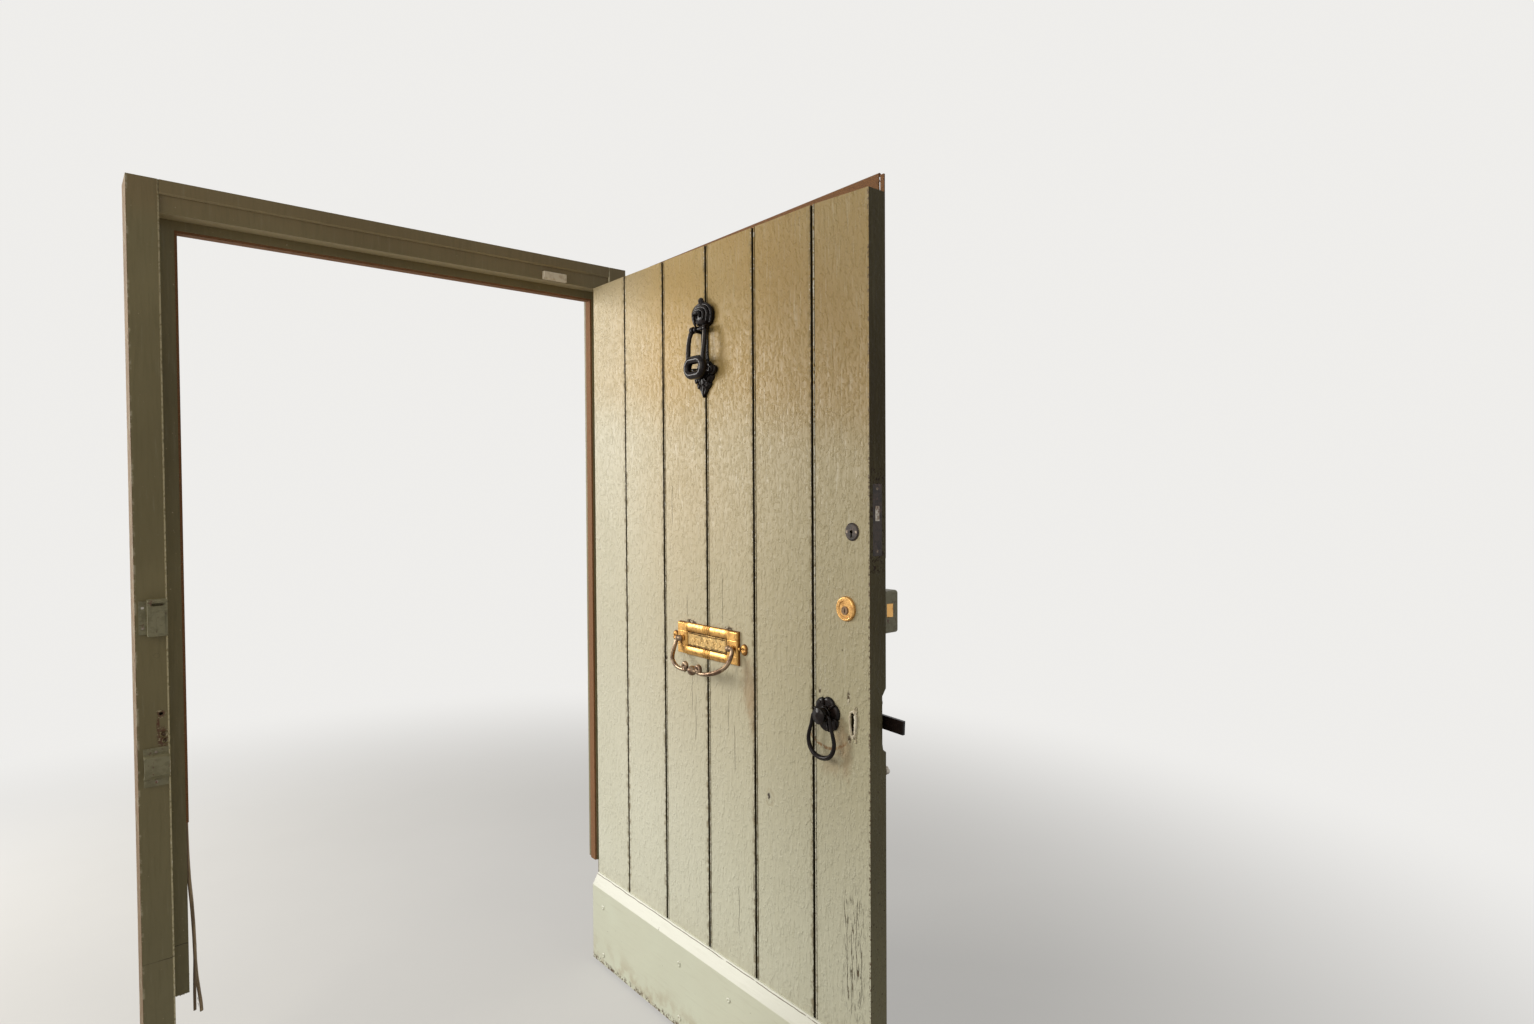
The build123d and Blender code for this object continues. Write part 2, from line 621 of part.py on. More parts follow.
def top_fall(s0):
    """Wedge taken off the top of the last board and the lock stile, which have dropped at the corner."""
    rise = Plane(origin=(LEAF_X - 1, 0, 0), x_dir=(0, 1, 0), z_dir=(1, 0, 0))
    top = LEAF_Z + LEAF_H
    wedge = Polygon((LEAF_Y - s0, top), (LEAF_Y - LEAF_W - 1, top - TOP_FALL), (LEAF_Y - LEAF_W - 1, top + 1),
                    (LEAF_Y - s0, top + 1), align=None)
    return rise * plate(wedge, 0, LEAF_T + 2)


def make_backing():
    """Stiles, rails and braces on the room side, with the rails stub tenoned into the stiles."""
    d0, d1 = BOARD_T, LEAF_T
    s_in, s_out = HINGE_STILE_W, LEAF_W - LOCK_STILE_W
    rails = {"bottom_rail": (0, BOTTOM_RAIL_H), "lock_rail": (LOCK_RAIL_Z, LOCK_RAIL_Z + LOCK_RAIL_H),
             "top_rail": (LEAF_H - TOP_RAIL_H, LEAF_H)}
    mid = (d0 + d1) / 2
    hinge_stile = leaf_slab(0, s_in, d0, d1, 0, LEAF_H)
    lock_stile = leaf_slab(s_out, LEAF_W, d0, d1, 0, LEAF_H) - top_fall(BOARD_JOINTS[-1])
    for name, (h0, h1) in rails.items():
        rail = leaf_slab(s_in, s_out, d0, d1, h0, h1)
        inset = TOP_RAIL_H / 5
        stub = (mid - STUB_T / 2, mid + STUB_T / 2, h0 + inset, h1 - inset)
        rail += leaf_slab(s_in - STUB_L, s_out + STUB_L, *stub)
        socket = (stub[0] - FIT, stub[1] + FIT, stub[2] - FIT, stub[3] + FIT)
        hinge_stile -= leaf_slab(s_in - STUB_L - FIT, s_in, *socket)
        lock_stile -= leaf_slab(s_out, s_out + STUB_L + FIT, *socket)
        parts[name] = rail
    torn = Polygon(*[(LEAF_T - depth, h) for h, depth in NOTCH], align=None)
    parts["hinge_stile"] = hinge_stile
    parts["lock_stile"] = lock_stile - edge(0, RING_H) * plate(torn, -NOTCH_REACH, 1)
    parts["lower_brace"] = brace(s_in, BOTTOM_RAIL_H, s_out, LOCK_RAIL_Z, d0, d1)
    parts["upper_brace"] = brace(s_in, LOCK_RAIL_Z + LOCK_RAIL_H, s_out, LEAF_H - TOP_RAIL_H, d0, d1)


def brace(s0, h0, s1, h1, d0, d1):
    """A diagonal that rises from the hinge side, its ends cut to fit into both corners."""
    run, rise = s1 - s0, h1 - h0
    length = (run ** 2 + rise ** 2) ** 0.5
    ds, dh = BRACE_W * length / rise / 2, BRACE_W * length / run / 2
    corners = [(s0, h0), (s0 + ds, h0), (s1, h1 - dh), (s1, h1), (s1 - ds, h1), (s0, h0 + dh)]
    place = Plane(origin=(LEAF_X + d0, LEAF_Y, LEAF_Z), x_dir=(0, 1, 0), z_dir=(1, 0, 0))
    return place * plate(Polygon(*[(-s, h) for s, h in corners], align=None), 0, d1 - d0)


def make_kick_board():
    """Weathered board across the foot of the outer face, with a bevelled top and a drip groove below."""
    back_d, face_d = 0.0, -KICK_T
    points = [(back_d, 0), (face_d, 0), (face_d, KICK_H - KICK_BEVEL), (face_d / 6, KICK_H), (back_d, KICK_H)]
    place = Plane(origin=(LEAF_X, LEAF_Y - KICK_ENDS[0], LEAF_Z), x_dir=(1, 0, 0), z_dir=(0, -1, 0))
    section = Polygon(*points, align=None)
    nose = section.vertices().sort_by_distance(Vector(face_d, KICK_H - KICK_BEVEL))[0]
    section = fillet(nose, KICK_NOSE) - Pos(face_d / 2, 0) * Circle(DRIP_R)
    parts["kick_board"] = place * plate(section, 0, KICK_ENDS[1] - KICK_ENDS[0])
    for s in KICK_SCREW_S:
        for h in KICK_SCREW_H:
            board = "board_%d" % (1 + sum(s > joint for joint in BOARD_JOINTS))
            fasten("door_screws", front(s, h, KICK_T), KICK_SCREW, "kick_board", board)


def pin_plane(z):
    return Plane(origin=(PIN_X, PIN_Y, z), x_dir=(1, 0, 0), z_dir=(0, 0, 1))


def make_hinges():
    """Two strap hinges: a plate on the jamb's face with two knuckles, a long strap with one, and a pin."""
    half_strap, half_plate = STRAP_W / 2, PLATE_H / 2
    for name, h in zip(("lower", "upper"), HINGE_H):
        z = LEAF_Z + h
        clear = half_strap + KNUCKLE_GAP
        jamb_plate = slab(PIN_X, PIN_X + PLATE_W, -STRAP_T, 0, z - half_plate, z + half_plate)
        jamb_plate += pin_plane(z) * rod(KNUCKLE_R, -half_plate, half_plate)
        relief = KNUCKLE_R + 1.5
        jamb_plate -= slab(PIN_X - 2 * relief, PIN_X + relief, -4 * relief, 1, z - clear, z + clear)
        jamb_plate -= pin_plane(z) * rod(PIN_R, -PLATE_H, PLATE_H)
        parts[f"{name}_hinge_plate"] = jamb_plate
        for x in PLATE_SCREW_X:
            for step in (-1, 1):
                spot = (PIN_X + x, -STRAP_T, z + step * (half_plate - PLATE_SCREW_END))
                place = Plane(origin=spot, z_dir=(0, -1, 0))
                fasten("frame_screws", place, WOOD_SCREW, f"{name}_hinge_plate", "hinge_jamb")

        strap = strap_outline()
        strap = back(0, h) * plate(strap, 0, STRAP_T) + pin_plane(z) * rod(KNUCKLE_R, -half_strap, half_strap)
        parts[f"{name}_hinge_strap"] = strap - pin_plane(z) * rod(PIN_R + RUN, -half_plate, half_plate)
        rail = "bottom_rail" if name == "lower" else "top_rail"
        for s in STRAP_SCREWS:
            wood = "hinge_stile" if s < HINGE_STILE_W else rail
            fasten("door_screws", back(s, h, STRAP_T), WOOD_SCREW, f"{name}_hinge_strap", wood)

        pin = rod(PIN_R, -half_plate, half_plate)
        for end in (-1, 1):
            cap = Pos(0, 0, end * half_plate) * Rot(90 - 90 * end, 0, 0) * pin_cap()
            pin += cap
        parts.setdefault("hinge_pins", []).append(pin_plane(z) * pin)


def pin_cap():
    return rod(KNUCKLE_R - 0.5, 0, 1.5) + Pos(0, 0, 1.5) * Cone(KNUCKLE_R - 0.5, PIN_R / 2, 2.5,
                                                            align=(Align.CENTER, Align.CENTER, Align.MIN))


def strap_outline():
    """Tapered strap with a round eye at its end, drawn on the leaf's inner face from the hinge edge."""
    root, tip = STRAP_W / 2, STRAP_TIP_W / 2
    start = SIDE_GAP / 2
    taper = Polygon((start, root), (-STRAP_L, tip), (-STRAP_L, -tip), (start, -root), align=None)
    return taper + Pos(-STRAP_L, 0) * Circle(STRAP_EYE_R)


def make_night_latch():
    """Rim night latch: case, bolt and turn knob inside, and the cylinder in its brass ring outside."""
    through = CYL_R + FIT
    ring = revolve(Polygon((0, 0), (CYL_RING_R, 0), (CYL_RING_R, 1.5), (CYL_RING_R - 2.5, CYL_RING_T - 1),
                           (CYL_RING_R - 4, CYL_RING_T), (CYL_R, CYL_RING_T), (CYL_R - 1, CYL_RING_T - 1.6),
                           (0, CYL_RING_T - 1.6), align=None).rotate(Axis.X, 90), axis=Axis.Z)
    barrel = rod(CYL_R, -LEAF_T + 1, 1)
    place = front(LATCH_S, LATCH_H)
    plug_hole = place * Pos(0, -PLUG_DROP, 0) * rod(PLUG_R + RUN, -LEAF_T, CYL_RING_T + 2)
    parts["cylinder_ring"] = place * (ring + barrel) - plug_hole
    plug = rod(PLUG_R, -LEAF_T + 3, CYL_RING_T - 1.6 + PLUG_PROUD)
    keyway = plate(Rectangle(KEYWAY_W, KEYWAY_H), 0, CYL_RING_T + PLUG_PROUD)
    parts["cylinder_plug"] = place * Pos(0, -PLUG_DROP, 0) * (plug - keyway)
    hole = place * rod(through, -LEAF_T - 1, 1)
    for name in ("board_6", "lock_stile"):
        drill(name, hole)

    case_s = LEAF_W - CASE_INSET - CASE_L / 2
    case_place = back(case_s, CASE_CENTRE_H)
    case = plate(RectangleRounded(CASE_L, CASE_H, 6), 0, CASE_T)
    case = case_place * fillet(case.edges().group_by(Axis.Z)[-1], 3)
    knob_place = back(LATCH_S, LATCH_H, CASE_T)
    bolt = latch_bolt(0)
    nose = bolt.edges().filter_by(Axis.Z).sort_by(Axis.Y)[:2].sort_by(Axis.X)[0]
    stem_way = rod(KNOB_STEM_R + RUN, -KNOB_STEM_L - SEAT, 1)
    parts["nightlatch_case"] = case - latch_bolt(SEAT) - knob_place * stem_way
    parts["nightlatch_bolt"] = chamfer(nose, BOLT_BEVEL[0], BOLT_BEVEL[1])
    knob = rod(KNOB_STEM_R, -KNOB_STEM_L, 1 + SEAT) + rod(KNOB_R, 1 + SEAT, KNOB_L)
    knob = fillet(knob.edges().group_by(Axis.Z)[-1], KNOB_R / 5)
    thumb = plate(SlotOverall(2.6 * KNOB_R, 0.6 * KNOB_R).rotate(Axis.Z, 90), 1 + SEAT, 0.8 * KNOB_L)
    parts["nightlatch_knob"] = knob_place * (knob + thumb)
    for ds in (CASE_SCREW_S[0] - CASE_L / 2, CASE_L / 2 - CASE_SCREW_S[1]):
        for dh in (CASE_H / 2 - CASE_SCREW_H, CASE_SCREW_H - CASE_H / 2):
            place = back(case_s + ds, CASE_CENTRE_H + dh, CASE_T)
            fasten("door_screws", place, CASE_SCREW, "nightlatch_case", "lock_stile")


def latch_bolt(grow):
    """The bolt drawn back into its case, its nose bevelled on the side that meets the keep."""
    s1 = LEAF_W - CASE_INSET
    d0 = LEAF_T + BOLT_OUT
    h = BOLT_CENTRE_H
    return leaf_slab(s1 - BOLT_L - grow, s1 + 4 * grow, d0 - grow, d0 + BOLT_T + grow,
                     h - BOLT_H / 2 - grow, h + BOLT_H / 2 + grow)


def make_deadlock():
    """Mortice deadlock in the leading edge, with an escutcheon on each face of the leaf."""
    forend = leaf_slab(LEAF_W - FOREND_T, LEAF_W, LOCK_D - FOREND_W / 2, LOCK_D + FOREND_W / 2,
                       LOCK_H - FOREND_L / 2, LOCK_H + FOREND_L / 2)
    d0, d1 = LOCK_D - LOCK_CASE_T / 2, LOCK_D + LOCK_CASE_T / 2
    case_s1 = LEAF_W - FOREND_T
    case = leaf_slab(case_s1 - LOCK_CASE_L, case_s1, d0, d1,
                     LOCK_H - LOCK_CASE_H / 2, LOCK_H + LOCK_CASE_H / 2)
    key_hole = front(KEY_S, KEY_H) * plate(key_shape(), -LEAF_T, 1)
    parts["deadlock_case"] = forend + case - dead_bolt(SEAT) - key_hole
    parts["deadlock_bolt"] = dead_bolt(0)
    grow = FIT
    mortice = leaf_slab(case_s1 - LOCK_CASE_L - grow, LEAF_W + 1, d0 - grow, d1 + grow,
                        LOCK_H - LOCK_CASE_H / 2 - grow, LOCK_H + LOCK_CASE_H / 2 + grow)
    bed = leaf_slab(case_s1, LEAF_W + 1, LOCK_D - FOREND_W / 2 - grow, LOCK_D + FOREND_W / 2 + grow,
                    LOCK_H - FOREND_L / 2 - grow, LOCK_H + FOREND_L / 2 + grow)
    key_bore = front(KEY_S, KEY_H - 3) * rod(KEY_BORE_R, -LEAF_T - 1, 1)
    for name in ("board_6", "lock_stile"):
        drill(name, mortice, bed, key_bore)
    for step in (-1, 1):
        place = edge(LOCK_D, LOCK_H + step * (FOREND_L / 2 - STRIKE_SCREW_END))
        fasten("door_screws", place, SMALL_SCREW, "deadlock_case", "board_6", "lock_stile")

    disc = revolve(Polygon((0, 0), (ESC_R, 0), (ESC_R, ESC_T * 0.4), (ESC_R - 2.5, ESC_T), (0, ESC_T),
                           align=None).rotate(Axis.X, 90), axis=Axis.Z)
    disc -= plate(key_shape(), -1, ESC_T + 1)
    for place, wood in ((front(KEY_S, KEY_H), "board_6"), (back(KEY_S, KEY_H), "lock_stile")):
        escutcheon = place * disc
        for x in (-ESC_SCREW, ESC_SCREW):
            spot = place * Location((x, 0, ESC_T))
            fasten("door_screws", spot, SMALL_SCREW, wood)
            escutcheon -= spot * screw(SMALL_SCREW, FIT)
        parts.setdefault("keyhole_escutcheons", []).append(escutcheon)

    old = plate(SlotOverall(OLD_KEY_L, OLD_KEY_W).rotate(Axis.Z, 90), -BOARD_T - 1, 1)
    drill("board_6", front(OLD_KEY_S, OLD_KEY_H) * old)


def dead_bolt(grow):
    h = LOCK_H + DEAD_BOLT_RISE
    return leaf_slab(LEAF_W - DEAD_BOLT_L - grow, LEAF_W + 4 * grow, LOCK_D - DEAD_BOLT_T / 2 - grow,
                     LOCK_D + DEAD_BOLT_T / 2 + grow, h - DEAD_BOLT_H / 2 - grow, h + DEAD_BOLT_H / 2 + grow)


def key_shape():
    return Circle(KEY_HEAD_R) + Pos(0, -KEY_STEM_L / 2) * Rectangle(KEY_STEM_W, KEY_STEM_L)


def make_ring_handle():
    """Ring handle: flower rosette, domed boss on a spindle, pear shaped ring, and the latch bar inside."""
    place = front(RING_S, RING_H)
    rose = Circle(ROSE_R)
    for index in range(PETALS):
        rose += Rot(0, 0, 30 + 360 / PETALS * index) * Pos(ROSE_R, 0) * Circle(PETAL_R)
    rosette = extrude(rose, amount=ROSE_T, taper=20)
    parts["ring_rosette"] = place * (rosette - rod(SPINDLE_R + RUN, -1, ROSE_T + 1))
    for angle in (90, 210, 330):
        spot = place * Location((0, 0, 0), (0, 0, angle)) * Location((ROSE_R + 3, 0, ROSE_T))
        fasten("door_screws", spot, SMALL_SCREW, "ring_rosette", "board_6")

    boss = rod(BOSS_R, ROSE_T + SEAT, BOSS_L)
    boss = fillet(boss.edges().group_by(Axis.Z)[-1], BOSS_DOME)
    way = Pos(0, 0, RING_OUT) * cross_rod(RING_WIRE_R + RUN, -BOSS_R - 1, BOSS_R + 1)
    bar_top = LEAF_T + BAR_OUT + BAR_T
    spindle = rod(SPINDLE_R, -LEAF_T - BAR_OUT + 0.5, ROSE_T + 1)
    square = plate(Rectangle(BAR_SQUARE, BAR_SQUARE), -bar_top, -LEAF_T)
    nut = plate(RegularPolygon(8.5, 6), -bar_top - 6, -bar_top)
    parts["ring_spindle"] = place * (boss + spindle + square + nut - way)
    for name in ("board_6", "lock_stile"):
        drill(name, place * rod(SPINDLE_R + 2 * RUN, -LEAF_T - 1, 1))
    parts["ring"] = place * Pos(0, 0, RING_OUT) * ring_loop()

    reach = BAR_TIP_S - RING_S
    half = BAR_H / 2
    taper = Polygon((0, BAR_ROOT_R - FIT), (BAR_NECK, half), (reach, half), (reach, -half), (BAR_NECK, -half),
                    (0, FIT - BAR_ROOT_R), align=None)
    bar = rod(BAR_ROOT_R, 0, BAR_T) + plate(taper, 0, BAR_T)
    bar = place * Pos(0, 0, -LEAF_T - BAR_OUT - BAR_T) * Rot(0, 0, -bar_droop()) * bar
    parts["latch_bar"] = bar - place * plate(Rectangle(BAR_SQUARE, BAR_SQUARE), -bar_top - 1, 1)
    parts["latch_guide"] = latch_guide()


def bar_droop():
    """Slope in degrees of the latch bar, which falls towards its tip."""
    return degrees(atan((RING_H - BAR_TIP_H) / (BAR_TIP_S - RING_S)))


def ring_loop():
    """Closed pear shaped ring: a short bar through the boss, flared sides and a round foot."""
    neck, wide, drop = RING_NECK / 2, RING_WIDE / 2, RING_DROP
    path = Spline((neck, 0), (neck + 3, -drop * 0.18), (wide, -drop * 0.6), (0, -drop),
                  (-wide, -drop * 0.6), (-neck - 3, -drop * 0.18), (-neck, 0))
    loop = tube(path, RING_WIRE_R) + cross_rod(RING_WIRE_R, -neck, neck)
    for side in (-1, 1):
        loop += Pos(side * neck, 0, 0) * Sphere(RING_WIRE_R)
    return loop


def latch_guide():
    """Staple that the bar moves in and rests on, its two feet on the stile."""
    half_w = GUIDE_W / 2
    reach = BAR_OUT + BAR_T + 3
    droop = radians(bar_droop())
    low = RING_H - (GUIDE_S + half_w - RING_S) * tan(droop) - BAR_H / 2 / cos(droop) - SEAT
    high = low + GUIDE_GAP
    d0 = LEAF_T
    frame = leaf_slab(GUIDE_S - half_w, GUIDE_S + half_w, d0, d0 + reach + GUIDE_T,
                      low - GUIDE_T, high + GUIDE_T)
    frame -= leaf_slab(GUIDE_S - half_w - 1, GUIDE_S + half_w + 1, d0 - 1, d0 + reach, low, high)
    foot = GUIDE_T + GUIDE_FOOT
    for h0, h1 in ((low - foot, low - GUIDE_T), (high + GUIDE_T, high + foot)):
        frame += leaf_slab(GUIDE_S - half_w, GUIDE_S + half_w, d0, d0 + GUIDE_T / 2, h0, h1)
        fasten("door_screws", back(GUIDE_S, (h0 + h1) / 2, GUIDE_T / 2), SMALL_SCREW,
               "latch_guide", "lock_stile")
    return frame


def make_slide_bolt():
    """Barrel bolt on the lock stile, drawn back: plate with three guides and a round bolt with a knob."""
    s0, s1 = SLIDE_PLATE_S
    half = SLIDE_PLATE_H / 2
    body = leaf_slab(s0, s1, LEAF_T, LEAF_T + SLIDE_PLATE_T, SLIDE_H - half, SLIDE_H + half)
    axis_place = back(0, SLIDE_H, SLIDE_OUT)
    wall_r = SLIDE_R + SLIDE_GUIDE_WALL
    for s in SLIDE_GUIDES:
        guide = leaf_slab(s - SLIDE_GUIDE_W / 2, s + SLIDE_GUIDE_W / 2,
                          LEAF_T + SLIDE_PLATE_T, LEAF_T + SLIDE_OUT, SLIDE_H - wall_r, SLIDE_H + wall_r)
        body += guide + axis_place * cross_rod(wall_r, -s - SLIDE_GUIDE_W / 2, -s + SLIDE_GUIDE_W / 2)
    body -= axis_place * cross_rod(SLIDE_R + RUN, -s1 - 1, -s0 + 1)
    parts["slide_bolt_plate"] = body
    shot0, shot1 = SLIDE_S
    bolt = cross_rod(SLIDE_R, -shot1 + SLIDE_R, -shot0)
    bolt += Pos(-shot1 + SLIDE_R, 0, 0) * Sphere(SLIDE_R)
    knob = rod(SLIDE_KNOB_R / 2, 0, SLIDE_KNOB_L) + Pos(0, 0, SLIDE_KNOB_L) * Sphere(SLIDE_KNOB_R)
    knob = Pos(-SLIDE_KNOB_S, 0, 0) * knob
    parts["slide_bolt"] = axis_place * (bolt + knob)
    for s in (s0 + 6, (SLIDE_GUIDES[0] + SLIDE_GUIDES[1]) / 2, s1 - 22):
        for step in (-1, 1):
            place = back(s, SLIDE_H + step * (half - 4), SLIDE_PLATE_T)
            wood = "lock_stile" if s > LEAF_W - LOCK_STILE_W + 5 else "lock_rail"
            fasten("door_screws", place, SMALL_SCREW, "slide_bolt_plate", wood)


def make_letter_plate():
    """Cast letter plate with eared ends, a sprung flap behind its window and a drop handle on two posts."""
    place = front(LETTER_S, LETTER_H)
    body = extrude(Rectangle(LP_W, LP_H), amount=LP_T - LP_BEVEL)
    body += Pos(0, 0, LP_T - LP_BEVEL) * extrude(Rectangle(LP_W, LP_H), amount=LP_BEVEL, taper=40)
    body -= plate(Rectangle(LP_WINDOW_W, LP_WINDOW_H), -1, LP_T + 1)
    pocket_w, pocket_h = LP_WINDOW_W + 2 * LP_POCKET, LP_WINDOW_H + 2 * LP_POCKET
    body -= plate(Rectangle(pocket_w, pocket_h), -1, LP_T - LP_LIP)
    for side in (-1, 1):
        lobe = Circle(EAR_R)
        ear = Pos(side * EAR_OUT, EAR_R * 0.75) * lobe + Pos(side * EAR_OUT, -EAR_R * 0.75) * lobe
        ear += Pos(side * (LP_W / 2 + 2), 0) * Rectangle(2 * (EAR_OUT - LP_W / 2), EAR_R)
        body += extrude(ear, amount=EAR_T, taper=25)
        post = rod(POST_R, LP_T - 2, POST_L) + Pos(0, 0, POST_L) * Sphere(POST_HEAD_R)
        body += Pos(side * POST_OUT, 0, 0) * post
        stud_way = rod(STUD_R, -BOARD_T - 8, 1)
        body += Pos(side * POST_OUT, 0, 0) * stud_way
        for wood in ("board_3", "board_4"):
            drill(wood, place * Pos(side * POST_OUT, 0, 0) * rod(STUD_R + FIT, -BOARD_T - 1, 1))
        add_nut(place * Pos(side * POST_OUT, 0, 0))
        for y in (LP_H / 2 - (LP_H - LP_WINDOW_H) / 4, -LP_H / 2 + (LP_H - LP_WINDOW_H) / 4):
            for step in ((side - 1) / 2 * RIB_STEP, (side + 1) / 2 * RIB_STEP):
                rib_h = (LP_H - LP_WINDOW_H) / 2 - 6
                body += Pos(step, y, LP_T) * extrude(Rectangle(RIB_W, rib_h), amount=1.4)
    pivot_y = LP_WINDOW_H / 2 + FLAP_LAP + FLAP_PIN_R
    pivot_z = LP_T - LP_LIP - SEAT - FLAP_PIN_R
    pin_x = pocket_w / 2 + 4
    body -= Pos(0, pivot_y, pivot_z) * cross_rod(FLAP_PIN_R + SEAT, -pocket_w / 2, pocket_w / 2)
    body -= Pos(0, pivot_y, pivot_z) * cross_rod(FLAP_PIN_R + RUN, -pin_x, pin_x)
    bail_way = cross_rod(BAIL_R + RUN, POST_OUT - BAIL_R - SEAT, POST_OUT + 2 * POST_HEAD_R)
    bail_way += mirror(bail_way, about=Plane.YZ)
    parts["letter_plate"] = place * (body - Pos(0, 0, POST_L) * bail_way)

    flap_w, flap_h = pocket_w - 4 * SEAT - 1, LP_WINDOW_H + 2 * FLAP_LAP
    flap = plate(Rectangle(flap_w, flap_h), pivot_z + FLAP_PIN_R - FLAP_T, pivot_z + FLAP_PIN_R)
    flap += Pos(0, pivot_y, pivot_z) * cross_rod(FLAP_PIN_R, -pin_x + 1, pin_x - 1)
    web = plate(Rectangle(flap_w, FLAP_PIN_R), pivot_z - 0.5, pivot_z + 0.5)
    flap += Pos(0, pivot_y - FLAP_PIN_R, 0) * web
    panel = extrude(Rectangle(LP_WINDOW_W - 8, LP_WINDOW_H - 8), amount=2.2, taper=20)
    lozenge = Rot(0, 0, 45) * Rectangle(LOZENGE_W, LOZENGE_W)
    ornament = Pos(0, 0, pivot_z + FLAP_PIN_R) * panel
    for index in range(-2, 3):
        spot = Pos(index * LOZENGE_STEP, 0, pivot_z + FLAP_PIN_R + 2)
        ornament += spot * extrude(lozenge, amount=1.6, taper=25)
    parts["letter_flap"] = place * (flap + ornament)

    slot_w, slot_h = flap_w + SLOT_CLEAR, flap_h + 2 * SLOT_CLEAR
    opening = place * Pos(0, SLOT_CLEAR / 2, 0) * plate(Rectangle(slot_w, slot_h), -LEAF_T - 1, 1)
    for wood in ("board_3", "board_4", "lock_rail", "lower_brace", "upper_brace"):
        drill(wood, opening)
    parts["letter_handle"] = place * letter_handle()


def letter_handle():
    """Drop handle: a pin in each post, arms that curve down and out, and a ball between two curls."""
    foot = -HANDLE_DROP
    handle = Pos(0, foot, HANDLE_OUT) * turned_ball(BAIL_BALL_R)
    handle += Pos(0, foot, HANDLE_OUT) * cross_rod(BAIL_R, -CURL_X, CURL_X)
    end = POST_OUT + BAIL_REACH
    for side in (-1, 1):
        points = [(side * end, 0, POST_L)]
        points += [(side * x, -down, out) for x, down, out in (ARM_SHOULDER, ARM_ELBOW, ARM_FOOT)]
        points += [(side * (CURL_X + ARM_FOOT[0]) / 2, foot, HANDLE_OUT), (side * CURL_X, foot, HANDLE_OUT)]
        handle += tube(Spline(*points), BAIL_R)
        handle += Pos(0, 0, POST_L) * cross_rod(BAIL_R, *sorted((side * (POST_OUT - BAIL_R), side * end)))
        handle += Pos(side * end, 0, POST_L) * turned_ball(BAIL_END_R)
        handle += Pos(side * CURL_X, foot + CURL_R / 2, HANDLE_OUT) * rod(CURL_R, -CURL_T / 2, CURL_T / 2)
    return handle


def turned_ball(radius):
    """A ball whose seam faces up, clear of the bars that join it from the sides."""
    return Rot(0, 0, 90) * Sphere(radius)


def add_nut(place):
    """Washer and hexagon nut on a stud behind the boards, in a recess of any backing timber there."""
    bore = rod(STUD_R + RUN, -BOARD_T - NUT_WASHER_T - NUT_T - 1, -BOARD_T + 1)
    seat = -BOARD_T - NUT_WASHER_T
    nut = rod(NUT_WASHER_R, seat, -BOARD_T) + plate(RegularPolygon(NUT_R, 6), seat - NUT_T, seat) - bore
    parts.setdefault("fitting_nuts", []).append(place * nut)
    for wood in ("bottom_rail", "lock_rail", "top_rail", "lower_brace", "upper_brace"):
        drill(wood, place * rod(NUT_WASHER_R + FIT, -LEAF_T - 1, -BOARD_T + 1))


def make_knocker():
    """Cast knocker: a shell crown, back plate, leaf foot and anvil, and a lyre shaped striker on a pin."""
    place = front(KNOCK_S, KNOCK_H)
    body = plate(Pos(0, (CROWN_Y + LEAF_WIDE_Y) / 2) * Rectangle(KNOCK_PLATE_W, CROWN_Y - LEAF_WIDE_Y), 0,
                 KNOCK_PLATE_T)
    for step in range(CROWN_STEPS):
        shrink = 1 - 0.2 * step
        ring = Ellipse(CROWN_RX * shrink, CROWN_RY * shrink)
        body += Pos(0, CROWN_Y + 1.5 * step, 0) * plate(ring, 0, (step + 1) * CROWN_STEP_T)
    body += Pos(0, CROWN_Y + CROWN_RY - 4, 0) * plate(Ellipse(9, 12), 0, 14)
    body += Pos(0, FINIAL_Y + 2, 9) * Sphere(FINIAL_R)
    leaf = [(0, LEAF_TIP_Y), (16, LEAF_TIP_Y + 18), (LEAF_HALF_W - 8, LEAF_WIDE_Y - 20),
            (LEAF_HALF_W, LEAF_WIDE_Y), (LEAF_HALF_W - 6, LEAF_WIDE_Y + 14), (20, LEAF_WIDE_Y + 20)]
    leaf += [(-x, y) for x, y in reversed(leaf[1:])]
    for share, top in ((1.0, 5.5), (0.82, 9.0), (0.6, 13.0)):
        layer = [(x * share, LEAF_WIDE_Y + (y - LEAF_WIDE_Y) * share) for x, y in leaf]
        body += plate(Polygon(*layer, align=None), 0, top)
    for side in (-1, 1):
        body += Pos(side * SCROLL_X, SCROLL_Y, 0) * (rod(10, 0, 9.5) + Pos(0, 0, 9.5) * Sphere(6.5))
        body += Pos(side * LUG_X, 0, 0) * slab(-LUG_W / 2, LUG_W / 2, -7, 7, 0, KPIN_OUT + 6)
    foot = BOW_Y - BOW_END_R
    body += Pos(0, foot, 0) * rod(ANVIL_R, 0, BOW_OUT - BOW_R - SEAT)
    pin_way = Pos(0, 0, KPIN_OUT) * cross_rod(KPIN_R + RUN, -LUG_X - LUG_W, LUG_X + LUG_W)
    for y in (CROWN_Y, LEAF_WIDE_Y):
        body += Pos(0, y, 0) * rod(STUD_R, -BOARD_T - 8, 1)
        bore = place * Pos(0, y, 0) * rod(STUD_R + FIT, -BOARD_T - 1, 1)
        drill("board_3", bore)
        drill("board_4", bore)
        add_nut(place * Pos(0, y, 0))
    parts["knocker_base"] = place * (body - pin_way)
    pin_end = LIMB_X + LIMB_EYE_W / 2 + 2
    parts["knocker_pin"] = place * Pos(0, 0, KPIN_OUT) * cross_rod(KPIN_R, -pin_end, pin_end)
    parts["knocker_striker"] = place * striker()


